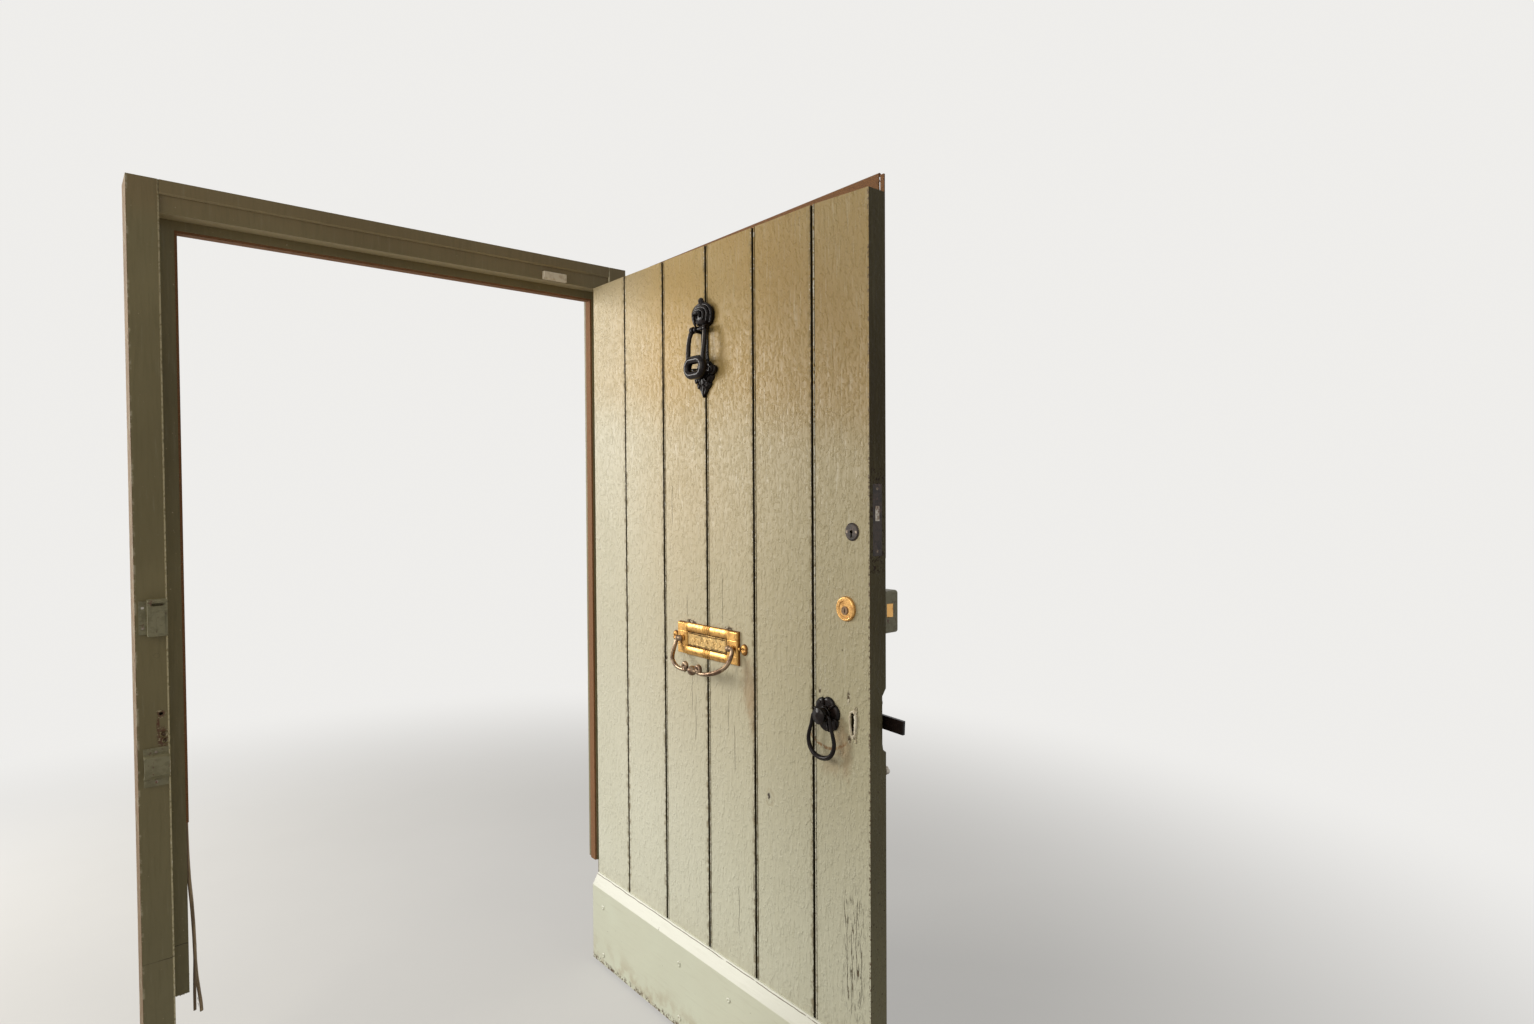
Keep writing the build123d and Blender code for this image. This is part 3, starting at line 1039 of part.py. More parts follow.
def striker():
    """Two limbs that hang from the pin and join in a heavy oval bow."""
    flat, end = BOW_FLAT / 2, BOW_END_R
    shape = Part()
    for side in (-1, 1):
        bend = CenterArc((side * flat, BOW_Y), end, -side * 90, 180)
        shape += Pos(0, 0, BOW_OUT) * tube(bend, BOW_R)
        shape += Pos(0, BOW_Y + side * end, BOW_OUT) * cross_rod(BOW_R, -flat, flat)
    for side in (-1, 1):
        limb = Spline((side * LIMB_X, 0, KPIN_OUT), (side * (LIMB_X + 3), BOW_Y * 0.4, BOW_OUT * 0.8),
                      (side * (flat + end), BOW_Y, BOW_OUT))
        shape += tube(limb, LIMB_R)
        eye = cross_rod(LIMB_EYE_R, side * LIMB_X - LIMB_EYE_W / 2, side * LIMB_X + LIMB_EYE_W / 2)
        shape += Pos(0, 0, KPIN_OUT) * eye
    return shape - Pos(0, 0, KPIN_OUT) * cross_rod(KPIN_R + RUN, -2 * LIMB_X, 2 * LIMB_X)


def make_leaf_seals():
    """Brown seal strips on the leaf's room side, and the alarm magnet beside the top one."""
    s0, s1 = TOP_SEAL_S
    tilt = degrees(atan(TOP_SEAL_RISE / (s1 - s0)))
    low = TOP_SEAL_TOP - TOP_SEAL_BASE_H
    strip = leaf_slab(s0, s1, LEAF_T, LEAF_T + TOP_SEAL_T, low, TOP_SEAL_TOP)
    lip = Plane(origin=(LEAF_X + LEAF_T + SEAL_LIP_R, LEAF_Y - s0, LEAF_Z + TOP_SEAL_TOP), z_dir=(0, -1, 0))
    strip += lip * rod(SEAL_LIP_R, 0, s1 - s0)
    pivot = Axis((LEAF_X, LEAF_Y - s0, LEAF_Z + TOP_SEAL_TOP), (1, 0, 0))
    parts["top_seal"] = strip.rotate(pivot, -tilt)
    e0, e1 = EDGE_SEAL_S
    h0, h1 = CASE_CENTRE_H + CASE_H / 2 + EDGE_SEAL_CLEAR, LEAF_H + EDGE_SEAL_UP
    parts["edge_seal"] = leaf_slab(e0, e1, LEAF_T, LEAF_T + EDGE_SEAL_T, h0, h1)

    mid = OPEN_X - SIDE_GAP - sum(CONTACT_X) / 2
    high = LEAF_H - 3
    magnet = leaf_slab(mid - MAGNET_L / 2, mid + MAGNET_L / 2, LEAF_T, LEAF_T + CONTACT_T,
                       high - CONTACT_H, high)
    parts["contact_magnet"] = fillet(magnet.edges().group_by(Axis.X)[-1], 1.5)


def make_all():
    make_frame()
    make_frame_seals()
    make_keeps()
    make_boards()
    make_backing()
    make_kick_board()
    make_hinges()
    make_night_latch()
    make_deadlock()
    make_ring_handle()
    make_slide_bolt()
    make_letter_plate()
    make_knocker()
    make_leaf_seals()


def finished(name):
    """A node's shape with everything drilled out of it, as one solid or a group of separate ones."""
    shape = parts[name]
    if isinstance(shape, list):
        return Compound(children=[solid for piece in shape for solid in piece.solids()])
    for cutter in drilled.get(name, []):
        shape = shape - cutter
    return shape


make_all()
os.makedirs("parts", exist_ok=True)
for node in parts:
    export_step(finished(node), f"parts/{node}.step")
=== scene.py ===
import json
import random
from math import copysign, cos, exp, pi, radians, sin, tau

import bmesh
import bpy
from mathutils import Matrix, Vector


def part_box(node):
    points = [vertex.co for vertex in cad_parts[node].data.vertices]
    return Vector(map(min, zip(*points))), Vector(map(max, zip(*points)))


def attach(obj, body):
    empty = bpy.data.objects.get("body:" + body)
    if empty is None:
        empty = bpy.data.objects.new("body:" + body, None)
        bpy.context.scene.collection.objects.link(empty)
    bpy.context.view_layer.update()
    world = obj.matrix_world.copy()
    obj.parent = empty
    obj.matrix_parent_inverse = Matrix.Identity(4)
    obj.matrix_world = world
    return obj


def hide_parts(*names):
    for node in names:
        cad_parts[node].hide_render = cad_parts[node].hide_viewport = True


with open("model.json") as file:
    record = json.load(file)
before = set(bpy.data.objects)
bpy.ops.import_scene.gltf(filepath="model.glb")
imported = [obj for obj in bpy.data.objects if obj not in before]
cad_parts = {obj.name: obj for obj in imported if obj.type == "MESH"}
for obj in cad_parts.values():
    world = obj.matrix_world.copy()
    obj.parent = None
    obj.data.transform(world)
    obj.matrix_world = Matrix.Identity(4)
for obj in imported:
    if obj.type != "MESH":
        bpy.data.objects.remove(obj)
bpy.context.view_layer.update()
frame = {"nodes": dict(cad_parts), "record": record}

# Sizes in millimetres, as in the part's source; MM turns them into metres
MM = 0.001
WELD = 1e-7  # metres
LEAF_X, LEAF_Y, LEAF_Z = 452.25, -8.75, 8
OPEN_X, STOP_X = 505, 477
JAMB_FOOT_TOP = 245
JOINTS = (160, 335, 509, 675.5, 855)
RING = (895, 843)
KNOCKER = (509, 1640)
KNOCKER_PIN = 18  # from the leaf's face
KNOCKER_BORE = 3.15  # radius
TOP_CORD_FALL = 9.7  # how much lower the cord lies at the hinge side
LETTER = (514, 932)
LETTER_GROOVES = (-11.5, -4, 4, 11.5)
OLD_KEY = (963, 836)
CYLINDER = (946.5, 1051.8)
FOREND_H = 1197
KICK_SCREW_S, KICK_SCREW_H = (55, 413, 603, 950), (25, 155)

# Camera, fitted to the photograph's edges
CAMERA_AT = (-0.68136, -2.04492, 1.27615)
CAMERA_YAW, CAMERA_PITCH, CAMERA_ROLL = 40.7116, 1.2261, -0.3149
CAMERA_LENS = 19.590
CAMERA_SENSOR = 36
CAMERA_CLIP = (0.05, 50)

# Floor, in metres: half its width, and where it fades into the background
FLOOR_HALF = 30
FLOOR_FADE = (1.3, 3.6)


# Mesh helpers

def add_object(name, data):
    thing = bpy.data.objects.new(name, data)
    bpy.context.scene.collection.objects.link(thing)
    return thing


def circle(count):
    """Angles spread evenly over a full turn."""
    return [tau * i / count for i in range(count)]


def mirrored(side, points):
    """Points drawn for the side of positive x, put on the side whose sign is given."""
    return [(side * x, y, z) for x, y, z in points]


class Shape:
    """Collects points and faces of several forms, in millimetres, to be made into one piece."""

    def __init__(self, centre=None):
        """With a centre on the leaf, x runs away from the hinges, y up and z out of the leaf's face."""
        self.points, self.faces, self.centre = [], [], centre

    def place(self, x, y, z):
        if self.centre:
            x, y, z = LEAF_X - z, LEAF_Y - (self.centre[0] + x), LEAF_Z + (self.centre[1] + y)
        return Vector((x, y, z)) * MM

    def add(self, points, faces):
        first = len(self.points)
        self.points += [self.place(*p) for p in points]
        self.faces += [tuple(first + i for i in face) for face in faces]

    def loft(self, rings, closed=False):
        """Skins rings of equal point counts; closed joins the last ring to the first, else both are capped."""
        count, size = len(rings), len(rings[0])
        faces = []
        for a in range(count if closed else count - 1):
            b = (a + 1) % count
            for i in range(size):
                j = (i + 1) % size
                faces.append((a * size + i, a * size + j, b * size + j, b * size + i))
        if not closed:
            faces.append(tuple(range(size)))
            faces.append(tuple(range((count - 1) * size, count * size)))
        self.add([p for ring in rings for p in ring], faces)

    def tube(self, path, radius, sides=12, closed=False, squash=1, flute=lambda a: 1):
        """A round bar along a path; radius is a number, or a function of the share of the way along."""
        path = [Vector(p) for p in path]
        count = len(path)
        normal = None
        rings = []
        for k, point in enumerate(path):
            before = path[k - 1] if closed or k else point
            after = path[(k + 1) % count] if closed or k < count - 1 else point
            along = (after - before).normalized()
            if normal is None:
                normal = Vector((0, 0, 1)) if abs(along.z) < 0.9 else along.orthogonal()
            normal = (normal - along * normal.dot(along)).normalized()
            side = along.cross(normal)
            r = radius(k / max(1, count - 1)) if callable(radius) else radius
            rings.append([point + normal * (r * flute(a)) * cos(a) + side * (r * flute(a)) * squash * sin(a)
                          for a in circle(sides)])
        self.loft(rings, closed=closed)

    def relief(self, nu, nv, point, floor=lambda x, y: 0):
        """A raised surface over a grid of shares u and v, with a skirt down to the floor's height."""
        points = [point(i / nu, j / nv) for j in range(nv + 1) for i in range(nu + 1)]
        faces = []
        for j in range(nv):
            for i in range(nu):
                a = j * (nu + 1) + i
                faces.append((a, a + 1, a + nu + 2, a + nu + 1))
        rim = (list(range(nu + 1)) + [j * (nu + 1) + nu for j in range(1, nv + 1)]
               + [nv * (nu + 1) + i for i in range(nu - 1, -1, -1)] + [j * (nu + 1) for j in range(nv - 1, 0, -1)])
        first = len(points)
        points += [(*points[k][:2], floor(*points[k][:2])) for k in rim]
        for k in range(len(rim)):
            m = (k + 1) % len(rim)
            faces.append((rim[k], rim[m], first + m, first + k))
        self.add(points, faces)

    def lathe(self, profile, centre=(0, 0), sides=40, wobble=lambda a, r: 1, bored=False):
        """Turns (radius, z) pairs about a local z line; wobble(angle, radius) scales them, bored leaves a hole."""
        self.loft([[(centre[0] + r * wobble(a, r) * cos(a), centre[1] + r * wobble(a, r) * sin(a), z)
                    for a in circle(sides)] for r, z in profile], closed=bored)

    def lathe_x(self, profile, centre, sides, side=1, bored=False):
        """Turns (radius, x) pairs about a line along local x through centre, given as (y, z)."""
        self.loft([[(side * x, centre[0] + r * cos(a), centre[1] + r * sin(a)) for a in circle(sides)]
                   for r, x in profile], closed=bored)

    def ball(self, centre, radii, rings=10, sides=16, turn=0):
        """An ellipsoid, turned about local z."""
        rx, ry, rz = radii if isinstance(radii, tuple) else (radii,) * 3
        loops = []
        for k in range(rings + 1):
            tilt = -pi / 2 + pi * k / rings
            flat = max(cos(tilt), 0.02)
            loop = []
            for a in circle(sides):
                x, y = rx * flat * cos(a), ry * flat * sin(a)
                loop.append((centre[0] + x * cos(turn) - y * sin(turn), centre[1] + x * sin(turn) + y * cos(turn),
                             centre[2] + rz * sin(tilt)))
            loops.append(loop)
        self.loft(loops)

    def piece(self, name, material, body):
        """One smooth piece of all that was added, riding on a body."""
        mesh = bpy.data.meshes.new(name)
        mesh.from_pydata([tuple(p) for p in self.points], [], self.faces)
        mesh.update()
        piece = add_object(name, mesh)
        mesh.materials.append(material)
        edit = bmesh.new()
        edit.from_mesh(mesh)
        bmesh.ops.remove_doubles(edit, verts=edit.verts, dist=WELD)
        bmesh.ops.recalc_face_normals(edit, faces=edit.faces)
        edit.to_mesh(mesh)
        edit.free()
        for polygon in mesh.polygons:
            polygon.use_smooth = True
        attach(piece, body)
        return piece


def smooth_path(points, steps=8, closed=False):
    """A curve through all points."""
    points = [Vector(p) for p in points]
    count = len(points)
    result = []
    for k in range(count if closed else count - 1):
        p1, p2 = points[k], points[(k + 1) % count]
        p0 = points[k - 1] if closed or k else p1 * 2 - p2
        p3 = points[(k + 2) % count] if closed or k + 2 < count else p2 * 2 - p1
        for i in range(steps):
            t = i / steps
            result.append(0.5 * (2 * p1 + (p2 - p0) * t + (2 * p0 - 5 * p1 + 4 * p2 - p3) * t * t
                                 + (3 * p1 - p0 - 3 * p2 + p3) * t ** 3))
    if not closed:
        result.append(points[-1])
    return result


# Material helpers

class Nodes:
    """A node tree, built by calls; inputs are numbers, colours or other nodes' outputs."""

    def __init__(self, name, world=False):
        self.owner = (bpy.data.worlds if world else bpy.data.materials).new(name)
        self.owner.use_nodes = True
        self.tree = self.owner.node_tree
        self.tree.nodes.clear()
        self.output = self.tree.nodes.new("ShaderNodeOutputWorld" if world else "ShaderNodeOutputMaterial")
        if not world:
            self.where = self.node("ShaderNodeTexCoord", out="Object")
            self.normal = self.node("ShaderNodeTexCoord", out="Normal")

    def node(self, kind, out=0, settings=None, **inputs):
        """A new node's output; the names i0, i1 and so on stand for inputs by number."""
        node = self.tree.nodes.new(kind)
        for key, value in (settings or {}).items():
            setattr(node, key, value)
        for key, value in inputs.items():
            socket = node.inputs[int(key[1:]) if key[1:].isdigit() else key]
            if isinstance(value, bpy.types.NodeSocket):
                self.tree.links.new(value, socket)
            else:
                socket.default_value = (*value, 1) if socket.type == "RGBA" else value
        return node.outputs[out]

    def math(self, operation, first, *others):
        """A chain of Math nodes: first with the next, the result with the one after it, and so on."""
        for other in others:
            first = self.node("ShaderNodeMath", settings={"operation": operation}, i0=first, i1=other)
        return first

    def add(self, *values):
        return self.math("ADD", *values)

    def sub(self, a, b):
        return self.math("SUBTRACT", a, b)

    def times(self, *values):
        return self.math("MULTIPLY", *values)

    def most(self, *values):
        return self.math("MAXIMUM", *values)

    def size(self, value):
        return self.math("ABSOLUTE", value, 0)

    def reach(self, u, v):
        """The distance of (u, v) from zero."""
        return self.math("SQRT", self.add(self.times(u, u), self.times(v, v)), 0)

    def shaken(self, value, noise, amount):
        """A value that a noise moves up and down."""
        return self.add(value, self.times(self.sub(noise, 0.5), amount))

    def axis(self, index):
        return self.node("ShaderNodeSeparateXYZ", out=index, Vector=self.where)

    def facing(self, index):
        return self.node("ShaderNodeSeparateXYZ", out=index, Vector=self.normal)

    def from_hinges(self):
        """How far along the leaf a point lies from its hinge edge."""
        return self.sub(self.times(self.axis(1), -1), -LEAF_Y * MM)

    def band(self, value, low, high, to_low=0, to_high=1):
        """Smooth step of a value from one limit to the other."""
        return self.node("ShaderNodeMapRange", settings={"interpolation_type": "SMOOTHSTEP"}, Value=value,
                         **{"From Min": low, "From Max": high, "To Min": to_low, "To Max": to_high})

    def fall(self, value, low, high):
        return self.band(value, low, high, 1, 0)

    def inside(self, value, low, high, soft):
        """1 between two limits, falling to 0 over a soft edge."""
        return self.times(self.band(value, low - soft, low + soft), self.fall(value, high - soft, high + soft))

    def line(self, value, centre, half, soft):
        return self.inside(value, centre - half, centre + half, soft)

    def spot(self, u, v, centre, radii, ragged, soft):
        """1 inside an ellipse in the plane of two values, with an edge that a noise makes ragged."""
        du, dv = (self.math("DIVIDE", self.sub(value, middle), radius)
                  for value, middle, radius in zip((u, v), centre, radii))
        return self.fall(self.shaken(self.reach(du, dv), ragged, 2.2), 1 - soft, 1 + soft)

    def noise(self, scale, stretch=None, detail=4, rough=0.55):
        """Noise over the piece; a stretch below 1 draws it out along that axis."""
        vector = self.node("ShaderNodeMapping", Vector=self.where, Scale=stretch) if stretch else self.where
        return self.node("ShaderNodeTexNoise", Vector=vector, Scale=scale, Detail=detail, Roughness=rough)

    def blend(self, share, a, b):
        return self.node("ShaderNodeMix", out=2, settings={"data_type": "RGBA"}, i0=share, i6=a, i7=b)

    def start(self, share, a, b):
        """Mixes the first colour, which coats go over."""
        self.color = self.blend(share, a, b)

    def coat(self, tone, *shares):
        """Lays a tone over the colour so far, as strongly as the product of its shares."""
        self.color = self.blend(self.times(*shares), self.color, tone)

    def surface(self, roughness, height, strength, distance, metallic=0, specular=0.5):
        """Ends the tree in this colour, with the height as relief."""
        bump = self.node("ShaderNodeBump", Height=height, Strength=strength, Distance=distance)
        shader = self.node("ShaderNodeBsdfPrincipled", Roughness=roughness, Normal=bump, Metallic=metallic,
                           **{"Base Color": self.color, "Specular IOR Level": specular})
        self.tree.links.new(shader, self.output.inputs[0])
        return self.owner


def leaf_paint():
    """Cream gloss on the boards, with painted light and shade: paler low down, darker towards the leading edge, ochre
    towards the top, darker on the leading edge; dirt along the joints with painted shade deep in them, and the marks
    seen on the face.
    """
    n = Nodes("door_paint")
    s = n.from_hinges()
    h = n.sub(n.axis(2), LEAF_Z * MM)
    deep = n.sub(n.axis(0), LEAF_X * MM)
    outer = n.fall(n.facing(0), -0.7, -0.3)
    upright = n.fall(n.size(n.facing(2)), 0.4, 0.6)
    leading = n.times(n.fall(n.facing(1), -0.9, -0.6), n.band(s, 0.98, 1))

    broad = n.noise(2.3, detail=2)
    rough = n.noise(55, detail=6, rough=0.7)
    ragged = n.noise(160, detail=5, rough=0.7)
    streaks = n.noise(170, (1, 1, 0.07), detail=5, rough=0.6)
    lumps = n.noise(70, (1, 1, 0.55), detail=2)
    pebbles = n.band(n.noise(165, (1, 1, 0.6), detail=3), 0.46, 0.74)

    # Ground, with painted light and shade: darker from the hinges to the leading edge as painted fall-off of the
    # daylight, paler low down as painted daylight, then ochre towards the top as painted shade under the head with
    # warm room light, its lower edge a painted soft shadow edge
    across = n.band(s, 0.2, 0.95)
    n.start(across, (0.62, 0.60, 0.47), (0.50, 0.475, 0.33))
    n.coat(n.blend(across, (0.74, 0.745, 0.615), (0.67, 0.67, 0.53)), n.fall(h, 0.15, 0.95))
    shadow_edge_slope = n.add(h, n.times(s, 0.111))
    top_shade_rising = n.times(n.band(h, 0.30, 1.78), n.band(s, 0.05, 0.45, 0.16, 0.64))
    warm = n.times(n.add(n.times(n.band(shadow_edge_slope, 1.42, 1.58), 0.33), top_shade_rising), outer)
    n.coat(n.blend(across, (0.50, 0.315, 0.075), (0.33, 0.215, 0.06)), warm)
    # Painted shade on the leading edge, darker towards the top
    edge_painted_shade = n.blend(n.band(h, 0.1, 1.1), (0.27, 0.25, 0.15), (0.05, 0.034, 0.011))
    n.coat(edge_painted_shade, n.band(n.facing(1), -0.9, -0.5, 0.92, 0))
    n.coat((0.45, 0.43, 0.29), n.band(n.facing(0), 0.5, 0.9), 0.6)
    n.coat((0.45, 0.42, 0.26), n.band(broad, 0.35, 0.7, 0, 0.16))
    n.coat((0.36, 0.33, 0.2), n.band(streaks, 0.5, 0.75, 0, 0.16))
    n.coat((0.75, 0.73, 0.6), n.band(streaks, 0.25, 0.45, 0.2, 0), outer)

    # Dirt along the joints and on the foot of the boards, and painted shade with dirt deep inside the joints
    near = 1
    for joint in JOINTS:
        near = n.math("MINIMUM", near, n.size(n.sub(s, joint * MM)))
    grime = n.times(n.fall(near, 0.004, 0.016), n.band(rough, 0.44, 0.62), outer, 0.75)
    n.coat((0.2, 0.15, 0.07), grime)
    edge_wear = n.times(n.fall(near, 0.0026, 0.0052), n.band(ragged, 0.46, 0.56), outer)
    n.coat((0.09, 0.06, 0.03), edge_wear)
    n.coat((0.3, 0.25, 0.15), n.band(h, 0.22, 0.30, 0.14, 0), outer, n.band(rough, 0.4, 0.6))
    # Nearly black deep inside the joints: painted shade of the recesses, with dirt
    inner = n.times(n.fall(n.facing(0), 0.2, 0.4), upright, n.inside(deep, 0.0012, 0.0236, 0.0008),
                    n.inside(s, 0.02, 0.985, 0.004))
    n.coat((0.045, 0.034, 0.016), inner)

    # Worn arris, a flaked line, pale joint edges, the rotted strip, and scuffs of the leading edge
    arris = n.times(n.inside(s, 1.0015, 1.0062, 0.0012), n.inside(deep, -0.001, 0.0022, 0.0012),
                    n.band(ragged, 0.5, 0.58))
    n.coat((0.13, 0.085, 0.045), arris)
    flaked = n.line(n.shaken(s, rough, 0.004), 0.8615, 0.0012, 0.001)
    n.coat((0.86, 0.84, 0.72), flaked, n.band(ragged, 0.42, 0.5), outer)
    edges = n.times(n.inside(near, 0.0035, 0.0062, 0.001), n.band(ragged, 0.56, 0.62), outer)
    n.coat((0.84, 0.81, 0.68), edges, 0.8)
    rotted = n.times(n.inside(s, 0.667, 0.684, 0.003), n.band(h, 1.2, 0.35), n.band(streaks, 0.5, 0.58), outer)
    n.coat((0.16, 0.12, 0.06), rotted, 0.85)
    n.coat((0.07, 0.05, 0.03), leading, n.band(ragged, 0.61, 0.66), n.band(n.noise(9), 0.45, 0.6))
    forend = n.inside(h, FOREND_H * MM - 0.075, FOREND_H * MM + 0.118, 0.004)
    n.coat((0.05, 0.032, 0.02), leading, forend, n.band(ragged, 0.52, 0.57), n.inside(deep, 0.002, 0.040, 0.004))

    # Rust below the ring handle: the arc that the ring has worn, and stains from rosette and letter plate
    dh = n.sub(h, RING[1] * MM)
    arc_line = n.line(n.reach(n.sub(s, RING[0] * MM), dh), 0.0665, 0.0032, 0.0018)
    worn_arc = n.times(arc_line, n.fall(dh, -0.052, -0.040), n.band(ragged, 0.36, 0.55), outer)
    n.coat((0.25, 0.125, 0.04), worn_arc, 0.95)
    for centre, radii, share in (((0.928, 0.800), (0.014, 0.035), 0.5), ((0.945, 0.780), (0.012, 0.045), 0.4),
                                 ((0.655, 0.855), (0.022, 0.05), 0.5), ((0.668, 0.80), (0.012, 0.05), 0.35),
                                 ((0.905, 0.745), (0.03, 0.018), 0.3)):
        n.coat((0.33, 0.2, 0.09), n.spot(s, h, centre, radii, rough, 0.6), outer, share)

    # Knot, cracks, chips by the letter plate and above the old keyhole
    wide, narrow = (n.spot(s, h, (0.723, 0.634), radii, rough, 0.2) for radii in ((0.011, 0.017), (0.0095, 0.015)))
    n.coat((0.3, 0.22, 0.11), n.most(0, n.sub(wide, narrow)), outer, 0.55)
    n.coat((0.05, 0.035, 0.02), n.spot(s, h, (0.720, 0.635), (0.004, 0.0065), ragged, 0.4), outer)
    cracks = 0
    wave = n.shaken(s, n.noise(26, detail=2), 0.010)
    for at, low, high in ((0.945, 0.33, 0.47), (0.957, 0.304, 0.44), (0.969, 0.35, 0.486), (0.981, 0.31, 0.42),
                          (0.565, 0.985, 1.09), (0.618, 0.30, 0.41), (0.43, 0.982, 1.03), (0.447, 0.76, 0.86),
                          (0.462, 0.70, 0.80), (0.585, 0.74, 0.815), (0.606, 0.66, 0.76), (0.37, 1.2, 1.29)):
        cracks = n.most(cracks, n.times(n.line(wave, at, 0.00055, 0.0005), n.inside(h, low, high, 0.012)))
    dashes = n.noise(330, (1, 1, 0.11), detail=3, rough=0.5)
    split = n.times(n.band(dashes, 0.59, 0.63), n.inside(s, 0.935, 0.988, 0.012), n.inside(h, 0.27, 0.51, 0.05))
    cracks = n.times(n.most(cracks, split), outer, n.band(rough, 0.3, 0.45))
    n.coat((0.11, 0.08, 0.04), cracks)
    chips = 0
    for centre, radii in (((0.440, 0.9725), (0.012, 0.004)), ((0.455, 0.9715), (0.010, 0.0035)),
                          ((0.588, 0.9725), (0.014, 0.004)), ((0.951, 0.884), (0.004, 0.011)),
                          ((0.953, 0.806), (0.004, 0.007)), ((0.874, 0.885), (0.003, 0.006)),
                          ((0.342, 0.872), (0.004, 0.007)), ((0.935, 0.972), (0.0015, 0.002))):
        chips = n.most(chips, n.spot(s, h, centre, radii, ragged, 0.25))
    chips = n.times(chips, outer)
    n.coat((0.09, 0.06, 0.035), chips, n.band(ragged, 0.44, 0.5))
    n.coat((0.8, 0.74, 0.58), chips, n.fall(ragged, 0.38, 0.46))
    specks = n.times(n.band(n.noise(420, detail=1), 0.74, 0.77), outer, n.band(broad, 0.5, 0.7, 0.2, 1))
    n.coat((0.17, 0.12, 0.06), specks)

    height = n.add(n.times(streaks, 0.5), n.times(lumps, 0.8), n.times(pebbles, 0.5))
    height = n.sub(height, n.times(n.most(chips, cracks, edge_wear), 0.5))
    gloss = n.add(n.band(streaks, 0.3, 0.7, 0.36, 0.5), n.times(n.most(inner, grime, chips), 0.35))
    return n.surface(gloss, height, 0.9, 0.0024, specular=n.band(n.facing(1), -0.9, -0.5, 0.06, 0.32))


def frame_paint():
    """The same paint, darkened to a green brown on the frame partly as painted shade, with painted highlights on the
    arrises, painted light on the head's undersides and outer edge, and small chips.
    """
    n = Nodes("frame_paint")
    x, z = n.axis(0), n.axis(2)
    aside = n.size(x)
    ragged = n.noise(150, detail=5, rough=0.7)
    rough = n.noise(40, detail=6, rough=0.65)
    streaks = n.noise(150, (1, 1, 0.08))
    # Darker green brown ground: partly the paint's own tone, partly painted shade
    n.start(n.band(n.noise(3, detail=2), 0.35, 0.65), (0.225, 0.192, 0.10), (0.18, 0.152, 0.076))
    n.coat((0.18, 0.175, 0.11), n.band(z, 0.9, 0.1, 0, 0.4))
    n.coat((0.24, 0.165, 0.08), n.band(z, 1.80, 1.88, 0, 0.45))
    n.coat((0.13, 0.115, 0.06), n.band(streaks, 0.48, 0.7, 0, 0.25))
    n.coat((0.32, 0.3, 0.2), n.band(streaks, 0.28, 0.42, 0.22, 0))
    # Painted highlight: pale colour on the slanting arris faces, broken by a noise
    lit_arris_slant = n.size(n.times(n.facing(0), n.facing(1)))
    n.coat((0.62, 0.56, 0.38), n.band(lit_arris_slant, 0.2, 0.4), n.band(ragged, 0.4, 0.5, 0.25, 1))
    # Painted light: paler on the head's downward faces, as if lit from outdoors
    lit_undersides = n.times(n.band(n.times(n.facing(2), -1), 0.6, 0.8), n.band(z, 1.7, 1.8))
    n.coat((0.6, 0.5, 0.32), lit_undersides, 0.55)
    # Painted light: paler on the frame's outer face and arris, towards outdoors
    n.coat((0.5, 0.46, 0.32), n.band(n.axis(1), 0.0865, 0.0895), 0.6)

    # Bare wood on the jambs' outer faces, which the wall hides
    wood = n.noise(120, (1, 1, 0.06), detail=6, rough=0.65)
    bare_tone = n.blend(n.band(wood, 0.36, 0.64), (0.25, 0.17, 0.095), (0.13, 0.085, 0.05))
    bare_tone = n.blend(n.band(rough, 0.52, 0.62, 0, 0.5), bare_tone, (0.30, 0.28, 0.2))
    n.coat(bare_tone, n.band(aside, 0.5572, 0.5578))

    # Marks on the latch jamb: the splice, the lost keeper's screw hole, and torn pits
    room = n.fall(n.facing(1), -0.9, -0.6)
    latch = n.band(x, -0.47, -0.48)
    splice = n.times(n.line(n.shaken(z, rough, 0.006), 0.350, 0.0006, 0.0006), latch,
                     n.band(x, -0.54, -0.515, 0.35, 1))
    n.coat((0.05, 0.04, 0.02), splice)
    ring = n.line(n.reach(n.sub(x, -0.524), n.sub(z, 0.962)), 0.0048, 0.0003, 0.0005)
    n.coat((0.1, 0.085, 0.05), ring, room, 0.6)
    pits = n.most(*(n.spot(x, z, centre, radii, ragged, 0.3) for centre, radii in (
        ((-0.519, 0.845), (0.0065, 0.0075)), ((-0.517, 0.797), (0.009, 0.021)),
        ((-0.524, 0.822), (0.0028, 0.016)), ((-0.515, 0.763), (0.004, 0.007)))))
    pits = n.times(pits, room, latch)
    n.coat((0.10, 0.045, 0.022), pits, n.band(ragged, 0.40, 0.5))
    n.coat((0.5, 0.42, 0.3), pits, n.fall(ragged, 0.36, 0.42))
    foot = n.times(n.fall(z, 0.05, 0.36), n.band(rough, 0.46, 0.56), n.band(x, -0.47, -0.505, 1, 0.25))
    n.coat((0.12, 0.075, 0.035), foot, 0.8)
    wall_side = n.times(n.band(aside, 0.553, 0.557), n.band(rough, 0.5, 0.6), room)
    n.coat((0.5, 0.45, 0.33), wall_side, 0.7)
    n.coat((0.55, 0.48, 0.34), n.band(n.noise(210, detail=2), 0.735, 0.76), 0.8)
    height = n.add(n.times(streaks, 0.5), n.times(n.noise(60, detail=2), 0.5))
    height = n.sub(height, n.times(n.most(pits, splice, n.times(foot, 0.5)), 0.6))
    gloss = n.most(n.band(streaks, 0.3, 0.7, 0.38, 0.52), n.band(aside, 0.5572, 0.5578, 0, 0.95))
    return n.surface(gloss, height, 0.5, 0.0011, specular=0.3)


